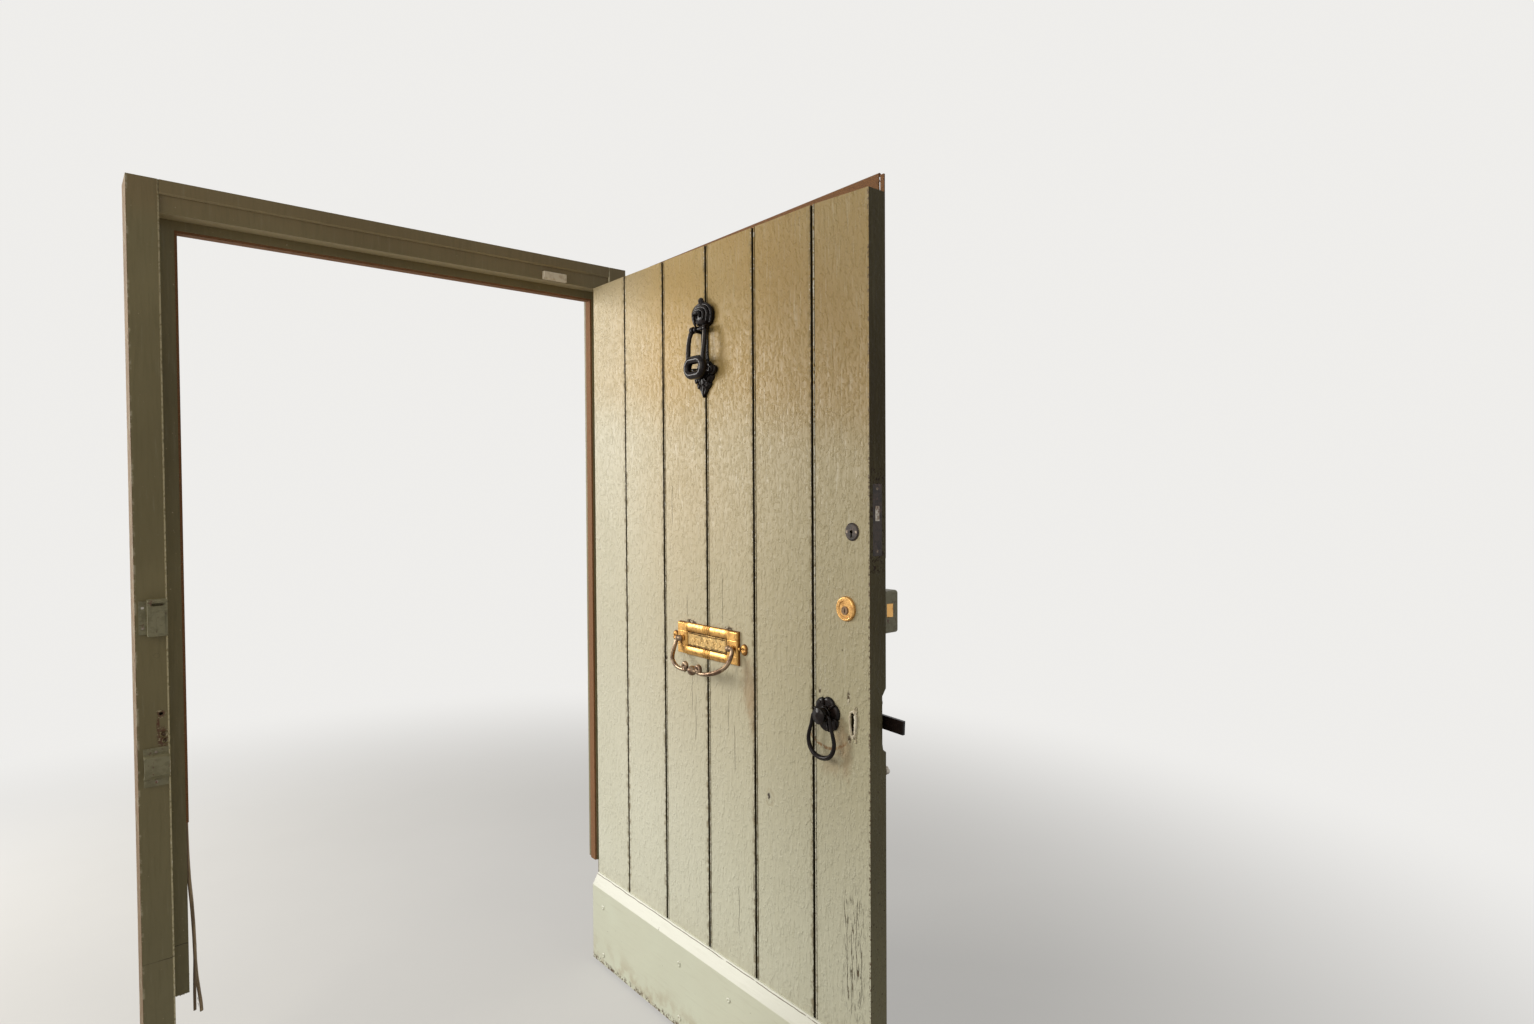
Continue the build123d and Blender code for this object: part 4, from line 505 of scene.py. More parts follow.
def kick_paint():
    """Paler paint on the kick board, with painted light on its top bevel and towards the leading edge, fine cracks
    and a few chips along its foot.
    """
    n = Nodes("kick_board_paint")
    z = n.axis(2)
    grain = n.noise(120, (1, 0.08, 1), detail=6, rough=0.6)
    rough = n.noise(14, detail=6, rough=0.6)
    ragged = n.noise(110, detail=6, rough=0.7)
    n.start(n.band(n.noise(4, detail=2), 0.35, 0.65), (0.71, 0.745, 0.60), (0.68, 0.70, 0.56))
    # Painted light: paler towards the leading edge
    n.coat((0.76, 0.76, 0.60), n.band(n.axis(1), -0.3, -0.95, 0, 0.6))
    # Painted highlight: the upward-facing top bevel paler
    n.coat((0.80, 0.81, 0.71), n.band(n.facing(2), 0.2, 0.5))
    n.coat((0.5, 0.49, 0.36), n.band(grain, 0.52, 0.7, 0, 0.15))
    n.coat((0.40, 0.30, 0.17), n.fall(z, 0.01, 0.10), n.band(rough, 0.46, 0.62), 0.5)
    worn = n.times(n.fall(z, 0.012, 0.026), n.band(ragged, 0.47, 0.56))
    flecks = n.times(n.band(ragged, 0.67, 0.7), n.band(rough, 0.5, 0.56))
    wave = n.shaken(z, n.noise(22, detail=3), 0.004)
    crease = n.times(n.line(wave, 0.2335, 0.0006, 0.0006), n.band(rough, 0.36, 0.44))
    lost = n.most(worn, flecks, crease)
    n.coat((0.13, 0.085, 0.05), lost)
    ends = n.times(n.band(n.size(n.facing(1)), 0.6, 0.8), n.band(grain, 0.44, 0.58))
    n.coat((0.2, 0.15, 0.09), ends, 0.5)
    height = n.add(n.times(grain, 0.6), n.times(n.noise(60, detail=2), 0.5))
    return n.surface(n.add(0.42, n.times(lost, 0.35)), n.sub(height, n.times(lost, 0.5)), 0.6, 0.0011)


def screw_finish():
    """Screw heads: painted over on the kick board, and dull, rust spotted steel elsewhere."""
    n = Nodes("door_screws")
    painted = n.times(n.band(n.axis(2), 0.25, 0.24), n.band(n.axis(0), 0.454, 0.45))
    patches = n.noise(300, detail=5)
    steel = n.blend(n.band(patches, 0.45, 0.6), (0.22, 0.18, 0.14), (0.09, 0.06, 0.045))
    paint = n.blend(n.band(patches, 0.55, 0.62), (0.7, 0.72, 0.58), (0.15, 0.1, 0.06))
    n.start(painted, steel, paint)
    return n.surface(0.45, patches, 0.4, 0.0006, metallic=n.sub(0.9, n.times(painted, 0.9)))


def metal(name, bright, dark, roughness, metallic, worn=(0.45, 0.6), rust=None, dent=0.0006):
    """Metal whose surface runs from a bright to a dark finish in uneven patches, with rust if it has any."""
    n = Nodes(name)
    patches = n.noise(63, detail=5, rough=0.65)
    fine = n.noise(396, detail=3)
    n.start(n.band(patches, *worn), bright, dark)
    shine = metallic
    if rust:
        spots = n.band(n.noise(108, detail=6, rough=0.7), 0.58, 0.64)
        n.coat(rust, spots)
        shine = n.times(n.sub(1, spots), metallic)
    gloss = n.band(fine, 0.3, 0.7, roughness * 0.8, min(1, roughness * 1.25))
    return n.surface(gloss, n.add(n.times(patches, 0.7), n.times(fine, 0.3)), 0.4, dent, metallic=shine)


def tarnished(name, bright, dark, deep_x, top_x, roughness, ribs=()):
    """Brass with tarnish lying in its low places, told by their place in front of the leaf, and beside its ribs."""
    n = Nodes(name)
    patches = n.noise(90, detail=5, rough=0.7)
    fine = n.noise(600, detail=3)
    low = n.band(n.shaken(n.axis(0), patches, 0.004), top_x, deep_x)
    n.start(low, bright, dark)
    n.coat(dark, n.band(patches, 0.45, 0.66, 0, 0.6))
    for at in ribs:
        n.coat(dark, n.line(n.from_hinges(), at * MM, 0.0011, 0.0005))
    gloss = n.add(n.band(fine, 0.3, 0.7, roughness * 0.8, roughness * 1.2), n.times(low, 0.2))
    return n.surface(gloss, n.add(n.times(patches, 0.6), n.times(fine, 0.2)), 0.35, 0.0007, metallic=1)


def seal_pile():
    """Brown woven pile: ribs across the strip, with loose pale fibres."""
    n = Nodes("seal")
    ribs = n.math("SINE", n.times(n.add(n.axis(1), n.axis(2)), 1500), 0)
    fuzz = n.noise(500, detail=5, rough=0.7)
    n.start(n.band(fuzz, 0.35, 0.65), (0.31, 0.135, 0.045), (0.11, 0.052, 0.025))
    n.coat((0.40, 0.22, 0.10), n.band(ribs, 0, 1, 0, 0.4))
    return n.surface(0.85, n.add(n.times(ribs, 0.4), fuzz), 0.7, 0.001)


def seal_strand():
    """The loose strip: faded plastic with a grain along it."""
    n = Nodes("loose_strip")
    grain = n.noise(260, (1, 1, 0.05), detail=5)
    n.start(n.band(grain, 0.38, 0.62), (0.36, 0.27, 0.17), (0.13, 0.085, 0.05))
    return n.surface(0.6, grain, 0.6, 0.0008)


def old_wood(name, pale, dark):
    """Bare, split wood with its grain upright."""
    n = Nodes(name)
    grain = n.noise(190, (1, 1, 0.06), detail=6, rough=0.7)
    n.start(n.band(grain, 0.35, 0.62), pale, dark)
    return n.surface(0.8, grain, 0.8, 0.0012)


def iron_finish():
    """Black lacquered iron, rubbed brown on its high places, with faint bluish and violet spots as painted glints."""
    n = Nodes("black_iron")
    patches = n.noise(120, detail=5, rough=0.6)
    fine = n.noise(700, detail=3)
    n.start(n.band(patches, 0.4, 0.65), (0.004, 0.003, 0.003), (0.014, 0.008, 0.006))
    # Painted glints: faint violet spots from a noise
    n.coat((0.04, 0.03, 0.034), n.band(n.noise(260), 0.64, 0.7, 0, 0.5))
    n.coat((0.03, 0.02, 0.018), n.band(n.times(n.facing(0), -1), 0.75, 1, 0, 0.3))
    return n.surface(n.band(fine, 0.3, 0.7, 0.16, 0.3), n.add(patches, n.times(fine, 0.3)), 0.35, 0.0005,
                     specular=0.15)


def plastic():
    """Yellowed plastic, unevenly dirty."""
    n = Nodes("pale_plastic")
    dirt = n.noise(70, detail=5)
    n.start(n.band(dirt, 0.45, 0.65), (0.78, 0.7, 0.56), (0.6, 0.5, 0.36))
    return n.surface(n.band(dirt, 0.3, 0.7, 0.35, 0.55), dirt, 0.15, 0.0004)


SLOTS = {
    "door_paint": leaf_paint(),
    "kick_board_paint": kick_paint(),
    "frame_paint": frame_paint(),
    "seal": seal_pile(),
    "painted_metal": metal("painted_metal", (0.23, 0.215, 0.13), (0.17, 0.155, 0.085), 0.45, 0,
                           rust=(0.12, 0.065, 0.035)),
    "pale_plastic": plastic(),
    "steel": metal("steel", (0.42, 0.39, 0.34), (0.2, 0.16, 0.12), 0.38, 1, rust=(0.16, 0.07, 0.03)),
    "black_iron": iron_finish(),
    "brass": metal("brass", (0.70, 0.40, 0.14), (0.45, 0.22, 0.07), 0.3, 1, worn=(0.5, 0.7), dent=0.00012),
    "dull_brass": metal("dull_brass", (0.30, 0.215, 0.14), (0.13, 0.08, 0.052), 0.33, 1, dent=0.0003),
    "bronzed_metal": metal("bronzed_metal", (0.045, 0.031, 0.024), (0.018, 0.012, 0.010), 0.45, 0.35,
                           rust=(0.075, 0.036, 0.02), dent=0.0003),
}
GOLD = tarnished("letter_plate_brass", (0.70, 0.40, 0.12), (0.21, 0.095, 0.03), 0.4500, 0.4432, 0.36,
                 [LETTER[0] + groove for groove in LETTER_GROOVES])
ORNAMENT = tarnished("flap_brass", (0.60, 0.40, 0.16), (0.022, 0.012, 0.006), 0.4469, 0.4459, 0.38)
PLUG = metal("plug_brass", (0.20, 0.13, 0.08), (0.10, 0.06, 0.04), 0.4, 1, dent=0.0002)
# Bright metal on the beads: rubbed bare, and partly a painted highlight
BEADING = metal("rubbed_and_highlit_beading", (0.42, 0.38, 0.33), (0.12, 0.10, 0.09), 0.3, 1)
BROWN_BRASS = SLOTS["dull_brass"]
IRON = SLOTS["black_iron"]
STRAND = seal_strand()
ROTTEN = old_wood("rotten_wood", (0.42, 0.29, 0.16), (0.09, 0.055, 0.03))
CREAM = old_wood("old_paint", (0.90, 0.86, 0.72), (0.58, 0.49, 0.34))

FINISH = {"letter_flap": ORNAMENT, "cylinder_plug": PLUG, "door_screws": screw_finish()}

slot_of = {row["node"]: row["material_slot"] for row in frame["record"]["subparts"]}
for node_name, node_object in frame["nodes"].items():
    node_object.data.materials.clear()
    node_object.data.materials.append(FINISH.get(node_name) or SLOTS[slot_of[node_name]])


# Pieces modelled in place of plainer nodes, or added to them

def between(points, t):
    """A value interpolated through (share, value) pairs."""
    for (t0, a), (t1, b) in zip(points, points[1:]):
        if t <= t1:
            return a + (b - a) * (t - t0) / (t1 - t0)
    return points[-1][1]


def arc(start, sweep, steps):
    """Angles in radians from a start over a sweep, both in degrees."""
    return [radians(start + sweep * i / steps) for i in range(steps + 1)]


def swell(t):
    """0 at both ends and 1 in the middle."""
    return sin(pi * t)


def rounded(value, power):
    """A value's power that keeps its sign."""
    return copysign(abs(value) ** power, value)


def hill(x, width):
    """1 at zero, falling off to both sides."""
    return exp(-(x / width) ** 2)


def spiral(centre, start_r, end_r, turns, lift, start=0, hand=1):
    """Points of a flat spiral that rises towards its middle."""
    points = []
    for k in range(41):
        t = k / 40
        r = start_r + (end_r - start_r) * t
        a = start + hand * tau * turns * t
        points.append((centre[0] + r * cos(a), centre[1] + r * sin(a), centre[2] + lift * t))
    return points


def screw_head(shape, centre, radius, z, turn):
    """A slotted, slightly domed screw head, its slot turned as it was left."""
    rings = []
    for r, up in ((1, 0), (0.94, 0.22), (0.75, 0.34), (0.45, 0.4), (0.1, 0.42)):
        ring = []
        for a in circle(60):
            sunk = radius * 0.28 if abs(r * sin(a)) < 0.15 else 0
            ring.append((centre[0] + radius * r * cos(a + turn), centre[1] + radius * r * sin(a + turn),
                         z + up * radius * 0.4 - sunk))
        rings.append(ring)
    shape.loft(rings)


def knocker_base():
    """Back plate with a shell of nested ridges at its head, a curled finial, scrolls and a leaf at its foot."""
    shape = Shape(KNOCKER)

    def strip(u, v):
        across = 2 * u - 1
        width = between(((0, 14), (0.3, 11.5), (0.7, 11.5), (1, 15)), v)
        rise = 3.2 + 3.6 * max(0, 1 - (abs(across) / 0.45) ** 2) ** 0.5 + 1.2 * (abs(across) > 0.8)
        return (across * width, 20 - 100 * v, rise)
    shape.relief(22, 30, strip)

    shape.ball((2, 30, 3), (33, 27, 19), rings=14, sides=28)
    for k in range(4):
        rx, ry, z = 11.5 + 7.6 * k, 8 + 7 * k, 25.5 - 5.4 * k
        path = [(rx * cos(a), 29 + ry * sin(a) + 2 * cos(2 * a), z + 1.5 * sin(a)) for a in arc(-42, 264, 36)]
        shape.tube(path, lambda t: 2.4 + 2.7 * swell(t), sides=14, flute=lambda a: 0.86 + 0.14 * abs(cos(1.5 * a)))
    for a in arc(24, 132, 8):
        path = [(r * cos(a) * 1.25, 31 + r * sin(a), z) for r, z in ((6, 22), (13, 20), (19, 15), (24, 8))]
        shape.tube(smooth_path(path, 4), lambda t: 1.5 - 0.7 * t, sides=6)
    curl = [(1, 50, 11), (3, 56, 12), (3.5, 61, 12), (1, 66, 11.5), (-4, 67.5, 11), (-7, 64.5, 11.5),
            (-5.5, 61.5, 12.5), (-3, 62, 13)]
    shape.tube(smooth_path(curl, 6), lambda t: 6.4 - 4.2 * t, sides=14, flute=lambda a: 1 + 0.07 * cos(4 * a))
    shape.ball((3.5, 53, 11), (8.2, 4.2, 7))

    # Lugs that hold the pin
    for side in (-1, 1):
        rings = []
        for x, trim in ((8.2, 0.9), (9.2, 0), (14.8, 0), (15.8, 0.9)):
            top = [(x, (6.6 - trim) * cos(a), KNOCKER_PIN + (6.6 - trim) * sin(a)) for a in arc(180, -180, 12)]
            rings.append(mirrored(side, [(x, -8 + trim, 3), (x, -7.4 + trim, 12), *top,
                                         (x, 7.4 - trim, 12), (x, 8 - trim, 3)]))
        shape.loft(rings)

    def foot(u, v):
        across = 2 * u - 1
        width = between(((0, 13), (0.1, 24), (0.25, 36), (0.4, 38), (0.55, 33), (0.7, 26), (0.85, 16), (1, 2)), v)
        if v > 0.2:
            width -= 4.2 * max(0, cos(tau * (v - 0.2) * 4.6)) * min(1, (1 - v) * 4)
        t = abs(across)
        body = swell(min(1, 0.12 + v * 0.86))
        ribs = 1.5 * cos(t * 4.5 * pi + 5 * v) * (1 - t * 0.4) * body
        rise = 4 + 9.5 * body * max(0, 1 - t ** 2.2) ** 0.7 + ribs + 4.5 * max(0, v - 0.72) * 3.6 * (1 - t)
        rise += 2.2 * t * sin(v * 9.2 * pi) * body
        return (across * width, -74 - 79 * v + 5 * t * t, max(0.6, rise))
    shape.relief(40, 56, foot)
    for side in (-1, 1):
        shape.ball((side * 36, -93, 5), (10.5, 10.5, 9))
        shape.tube(spiral((side * 36, -93, 9), 10, 1.6, 1.7, 6.5, radians(90 - side * 60), -side),
                   lambda t: 3.8 - 1.7 * t, sides=10)
        for thick, fold in ((3.2, [(12, -112, 13), (20, -118, 12), (26, -112, 10), (31, -104, 8)]),
                            (2.8, [(4, -124, 13.5), (12, -131, 11), (18, -127, 8.5), (22, -121, 7)])):
            shape.tube(smooth_path(mirrored(side, fold), 6), lambda t: thick - 1.2 * t, sides=9)
    anvil = [(0.05, 20), (6.5, 20), (8.2, 19.2), (9, 17.5), (8.4, 15.5), (7.6, 14.5), (9.2, 13), (9.2, 4)]
    shape.lathe(anvil, centre=(0, -104), sides=32)
    piece = shape.piece("knocker_base_cast", IRON, "leaf")
    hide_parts("knocker_base")


def knocker_striker():
    """Two beaded limbs hung on the pin, flowing into a fluted oval bow."""
    shape, beads = Shape(KNOCKER), Shape(KNOCKER)
    bow_out, bow_y, flat, end = 30, -87, 12, 17
    path = [(middle + end * cos(a), bow_y + end * sin(a), bow_out)
            for middle, start in ((flat, -90), (-flat, 90)) for a in arc(start, 180, 16)]
    shape.tube(path, 9.3, sides=48, closed=True, flute=lambda a: 0.94 + 0.06 * abs(cos(3.5 * a)) ** 0.5)
    for side in (-1, 1):
        line = smooth_path(mirrored(side, [(26.2, -5.8, 20.8), (27.6, -11, 21.8), (29, -18, 23), (30, -36, 25.5),
                                           (28.5, -54, 27.5), (28, -70, 29), (28.5, -82, 30)]), 9)
        shape.tube(line, lambda t: 4.2 + 2 * abs(t - 0.35), sides=16, squash=1.15,
                   flute=lambda a: 1 - 0.10 * max(0, cos(a)) ** 8)
        shape.lathe_x([(KNOCKER_BORE, 18.7), (7, 18.7), (7.8, 19.6), (7.8, 28.4), (7, 29.3),
                       (KNOCKER_BORE, 29.3)], (0, KNOCKER_PIN), 24, side, bored=True)
        for k in range(2, len(line) - 2):
            for step in (0, 0.5):
                spot = line[k].lerp(line[k + 1], step)
                beads.ball((spot.x - 3, spot.y, spot.z + 3.9), 1.15, rings=4, sides=6)
    shape.ball((0, bow_y - end, bow_out - 3.5), (7.6, 7, 6.2))
    piece = shape.piece("knocker_striker_cast", IRON, "striker")
    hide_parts("knocker_striker")
    piece = beads.piece("knocker_beading", BEADING, "striker")


def ring_handle():
    """Forged ring, thin through the boss and thicker at its foot, and a petalled rosette with collars."""
    shape = Shape(RING)
    half = [(21, 0), (24.3, -8), (26.5, -19), (32, -35), (35, -50), (30.5, -66), (18.5, -77.5)]
    outline = half + [(0, -81.4)] + [(-x, y) for x, y in reversed(half)] + [(-8, 0), (8, 0)]
    path = smooth_path([(x, y, 18) for x, y in outline], 7, closed=True)
    lowest = min(p.y for p in path)

    def thickness(t):
        y = path[min(len(path) - 1, round(t * (len(path) - 1)))].y
        return 3.1 + 1.6 * (y / lowest) ** 0.8 if y < 0 else 3.1
    shape.tube(path, thickness, sides=16, closed=True, flute=lambda a: 1 + 0.035 * cos(4 * a))
    piece = shape.piece("ring_forged", IRON, "ring")
    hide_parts("ring")

    rose = Shape(RING)
    dice = random.Random(4)
    sizes = [1 + dice.uniform(-0.05, 0.05) for _ in range(6)]

    def petals(a, r):
        lobe = (a / tau * 6 + 0.25) % 6
        depth = max(0, (r - 15.4) / 20.4)
        notch = abs(sin(pi * lobe)) ** 0.55
        return (1 - 0.19 * depth * (1 - notch)) * (1 + (sizes[int(lobe) % 6] - 1) * depth * notch)
    rose.lathe([(35.6, 0), (35.8, 1.4), (34.6, 2.9), (32, 4.6), (28, 5.8), (23, 5.4), (19.5, 4.4),
                (17, 5), (15.6, 5), (15.4, 0.2)], sides=144, wobble=petals, bored=True)
    for k in range(6):
        a = tau * (k + 0.25) / 6 + 0.52
        points = [(r * cos(a), r * sin(a), z) for r, z in ((17.5, 5), (23, 6.2), (29, 6.2), (33.5, 4))]
        rose.tube(smooth_path(points, 4), lambda t: 1.3 + 1.8 * swell(t), sides=8)
    for a, turn in ((2.2, 0.6), (5.3, 1.6)):
        screw_head(rose, (27.5 * cos(a), 27.5 * sin(a)), 3, 6, turn)
    piece = rose.piece("ring_rosette_petals", IRON, "leaf")
    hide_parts("ring_rosette")

    boss = Shape(RING)
    boss.lathe([(15.3, 8), (16.2, 8.8), (16.2, 10.8), (15.3, 11.6)], sides=48)
    boss.lathe([(15.2, 22.6), (15.9, 23.4), (15.9, 25.4), (15, 26.6)], sides=48)
    piece = boss.piece("ring_boss_collars", IRON, "latch_spindle")


def letter_plate():
    """Cast brass: swelling bars with three ribs between square end blocks, lobed ears and handle posts."""
    shape = Shape(LETTER)
    half_w, half_h, win_w, win_h = 113, 37.5, 75, 17
    ear_x, ear_r, post_x = 129, 12.3, 92

    def cast(x, y):
        edge = min(1, min(half_w - abs(x), half_h - abs(y)) / 3)
        trim = 1 - (1 - max(0, edge)) ** 2
        past = abs(x) - win_w
        if abs(x) > win_w + 3:
            return (x, y, 1.2 + (7.8 + (0.8 * hill(past - 6, 2) - 0.7 * hill(past - 10, 1.4))) * trim)
        t = (abs(y) - win_h) / (half_h - win_h)
        bar = 5.5 + 3.5 * swell(max(0, min(1, t))) ** 0.6
        for middle in (-8, 0, 8):
            bar += 1.5 * hill(x - middle, 1.5)
        for groove in LETTER_GROOVES:
            bar -= 1.2 * hill(x - groove, 0.8)
        near = max(0, 1 - (win_w + 3 - abs(x)) / 4)
        return (x, y, max(5.4, bar - 1.2 * hill(past + 1, 1.2) + near * 0.8))

    def floor(x, y):
        return 5.3 if abs(x) <= win_w + 5.5 and abs(y) <= win_h + 0.1 else 0
    for sign in (-1, 1):
        shape.relief(240, 22, lambda u, v: cast((2 * u - 1) * half_w, sign * (win_h + (half_h - win_h) * v)), floor)
    for sign in (-1, 1):
        shape.relief(36, 24, lambda u, v: cast(sign * (win_w + (half_w - win_w) * u), (2 * v - 1) * win_h), floor)

    def ear(sign, u, v):
        a, r = tau * u, 1 - v
        lobe = ear_r * (0.74 + 0.26 * abs(sin(a)) ** 0.8)
        dome = 5.8 * max(0, 1 - r ** 3.2) ** 0.5 + 0.4
        dip = 2.8 * hill(r * ear_r, 3) + 1.2 * hill(r * sin(a) * ear_r, 1.3) * (r > 0.3)
        return (sign * ear_x + r * lobe * cos(a) * 0.98, r * lobe * sin(a) * 1.03, max(0.2, dome - dip))
    for sign in (-1, 1):
        grid = [[ear(sign, i / 48, j / 14) for i in range(48)] for j in range(15)]
        shape.loft([[(x, y, 0) for x, y, z in grid[0]]] + grid)
        screw_head(shape, (sign * ear_x, 0), 2.7, 3.6, 0.9 * sign)
        shape.tube([(sign * 112, 0, 3.5), (sign * 119, 0, 3.8)], 4.4, sides=14)
        shape.lathe([(6.4, 8.6), (6.2, 10), (5.8, 10.6), (5.4, 12), (5.4, 15)], (sign * post_x, 0), 28)
    piece = shape.piece("letter_plate_cast", GOLD, "leaf")
    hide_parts("letter_plate")
    heads = Shape(LETTER)
    for sign in (-1, 1):
        heads.lathe_x([(0.1, 84.4), (3.4, 85.2), (6.2, 87.6), (7.5, 91), (7.5, 93), (6.4, 96), (5.2, 97.2)],
                      (0, 16.2), 26, sign)
    piece = heads.piece("letter_post_heads", BROWN_BRASS, "leaf")


def letter_flap():
    """The flap's raised border with a fleuron and mirrored scrolls on a dark ground."""
    shape = Shape(LETTER)
    for y in (-14.6, 14.6):
        shape.tube([(-71, y, 5.6), (71, y, 5.6)], 0.9, sides=8)
    for x in (-71, 71):
        shape.tube([(x, -14.6, 5.6), (x, 14.6, 5.6)], 0.9, sides=8)
    for sign in (-1, 1):
        for x, y, start_r, end_r, turns, lift, hand, thick, thinner in (
                (15, 1.5, 8.8, 1.5, 1.35, 1, -sign, 1.4, 0.5), (36, -1.5, 9.2, 1.5, 1.35, 1, sign, 1.5, 0.6),
                (56, 1.5, 7.6, 1.3, 1.3, 0.8, -sign, 1.3, 0.4)):
            scroll = spiral((sign * x, y, 6.2), start_r, end_r, turns, lift, radians(90 + sign * 90), hand)
            shape.tube(scroll, lambda t: thick - thinner * t, sides=8)
        stem = [(4, -10, 6.2), (14, -11.5, 6.4), (25, -5, 6.6), (30, 6, 6.4), (44, 10.5, 6.4), (50, 4, 6.2),
                (63, -9, 6)]
        shape.tube(smooth_path(mirrored(sign, stem), 6), lambda t: 1.3 - 0.6 * t, sides=8)
        for x, y, turn in ((24, 8.5, 0.6), (26.5, -9, -0.5), (46, -8.5, 0.5), (47, 10, -0.6), (64.5, 8, 0.9)):
            shape.ball((sign * x, y, 6), (3.4, 1.4, 1.3), rings=6, sides=12, turn=sign * turn)
    for tilt in (-0.9, -0.45, 0, 0.45, 0.9):
        centre = (7.5 * sin(tilt), -3 + 8.5 * cos(tilt), 6.3)
        shape.ball(centre, (1.4, 5.4 - abs(tilt) * 1.6, 1.5), rings=6, sides=12, turn=-tilt)
    shape.ball((0, -6.5, 6.4), (4.6, 3.4, 2.2))
    piece = shape.piece("letter_flap_ornament", ORNAMENT, "letter_flap")


def letter_handle():
    """Drop handle: eyes about the posts' heads, arms swept down and out to a ball between two curls."""
    shape = Shape(LETTER)
    for side in (-1, 1):
        shape.lathe_x([(3, 97.7), (5.6, 98.1), (6.4, 99.2), (6.2, 102.4), (4.2, 104.6), (0.1, 105.6)],
                      (0, 16), 20, side)
        arm = [(102.6, 1, 16), (105.2, -6, 16.5), (106, -15, 19.5), (105, -26, 25), (101, -36, 31),
               (92, -45, 38), (77, -52.5, 43.5), (58, -57.5, 48), (40, -60, 49.5), (28, -60, 49)]
        shape.tube(smooth_path(mirrored(side, arm), 7), lambda t: 3.2 + 2.3 * swell(min(1, 0.12 + 0.66 * t)),
                   sides=16, squash=0.9)
        shape.tube(spiral((side * 24, -51, 49), 8.8, 2.6, 1.15, 0.8, radians(-90), side),
                   lambda t: 5.2 - 0.9 * t, sides=14)
        shape.lathe_x([(3.6, 8.2), (5.2, 9.2), (5.2, 10.6), (3.4, 12.2), (3, 20)], (-58, 48.4), 20, side)
    shape.lathe_x([(0.1, -11.2), (5.2, -10), (9.1, -6.8), (10.9, -2.7), (11.2, -0.6), (10.5, 0), (11.2, 0.6),
                   (10.9, 2.7), (9.1, 6.8), (5.2, 10), (0.1, 11.2)], (-58, 47.6), 32)
    piece = shape.piece("letter_handle_cast", BROWN_BRASS, "letter_handle")
    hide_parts("letter_handle")


def cylinder_ring():
    """Night latch cylinder: a rimmed ring with a stepped, faintly turned face."""
    shape = Shape(CYLINDER)
    profile = [(23.4, 0), (23.4, 3), (22.6, 4.8), (21.2, 5.9), (19.8, 5.9), (19.2, 4.9)]
    profile += [(18.6 - 0.7 * k, 4.9 + (0.18 if k % 2 else 0)) for k in range(4)]
    profile += [(15.9, 4.7), (15.8, 0.5)]
    shape.lathe(profile, sides=72, bored=True)
    piece = shape.piece("cylinder_trim", SLOTS["brass"], "leaf")


def old_keyhole():
    """The lost lock's keyhole: a ragged lip of old paint and splinters about the cut."""
    dice = random.Random(11)
    shape = Shape(OLD_KEY)
    path, widths = [], []
    for a in circle(48):
        x = 7.6 * rounded(cos(a), 0.6) + dice.uniform(-0.9, 0.9)
        y = 24.5 * rounded(sin(a), 0.9) + dice.uniform(-1.2, 1.2)
        path.append((x + 1.3 * sin(a * 2), y, 0.4))
        widths.append(dice.uniform(1.8, 3.8) * (1.35 if cos(a) > 0 else 0.8))
    shape.tube(path, lambda t: widths[min(47, int(t * 47))], sides=8, closed=True, squash=0.9)
    for _ in range(7):
        x, y = dice.uniform(3, 11), dice.choice((-1, 1)) * dice.uniform(22, 31)
        shape.tube([(x, y - 5, 0.2), (x + dice.uniform(-1.5, 1.5), y, 1.2), (x + dice.uniform(-2, 2), y + 5, 0.1)],
                   lambda t: 0.3 + 1.3 * swell(t), sides=6, squash=0.6)
    piece = shape.piece("old_keyhole_lip", CREAM, "leaf")


def top_cord():
    """The top seal's rolled lip, wound like a cord, frayed and curled at the leading corner."""
    dice = random.Random(7)
    low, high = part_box("top_seal")
    shape = Shape()
    x, z_end = high[0] / MM - 3.6, high[2] / MM - 3.6
    start, end = low[1] / MM + 4, high[1] / MM - 3
    turns, wind = 150, 1.6
    for strand in range(3):
        path = []
        for k in range(turns * 5):
            t = k / (turns * 5 - 1)
            a = tau * (turns * t / 2 + strand / 3)
            path.append((x + wind * cos(a), end + (start - end) * t,
                         z_end - TOP_CORD_FALL * (1 - t) + wind * sin(a)))
        shape.tube(path, 1.5, sides=6)
    for _ in range(26):
        y = start + dice.uniform(-2, 7)
        z = z_end + dice.uniform(-30, 2)
        x0 = x + dice.uniform(-3, 2)
        shape.tube([(x0, y, z), (x0 + dice.uniform(-1.5, 1.5), y + dice.uniform(-2, 1), z + dice.uniform(0, 2.5)),
                    (x0 + dice.uniform(-2, 1.5), max(low[1] / MM + 0.6, y - dice.uniform(0, 3)), z - 4)],
                   0.45, sides=5)
    piece = shape.piece("top_seal_cord", SLOTS["seal"], "leaf")


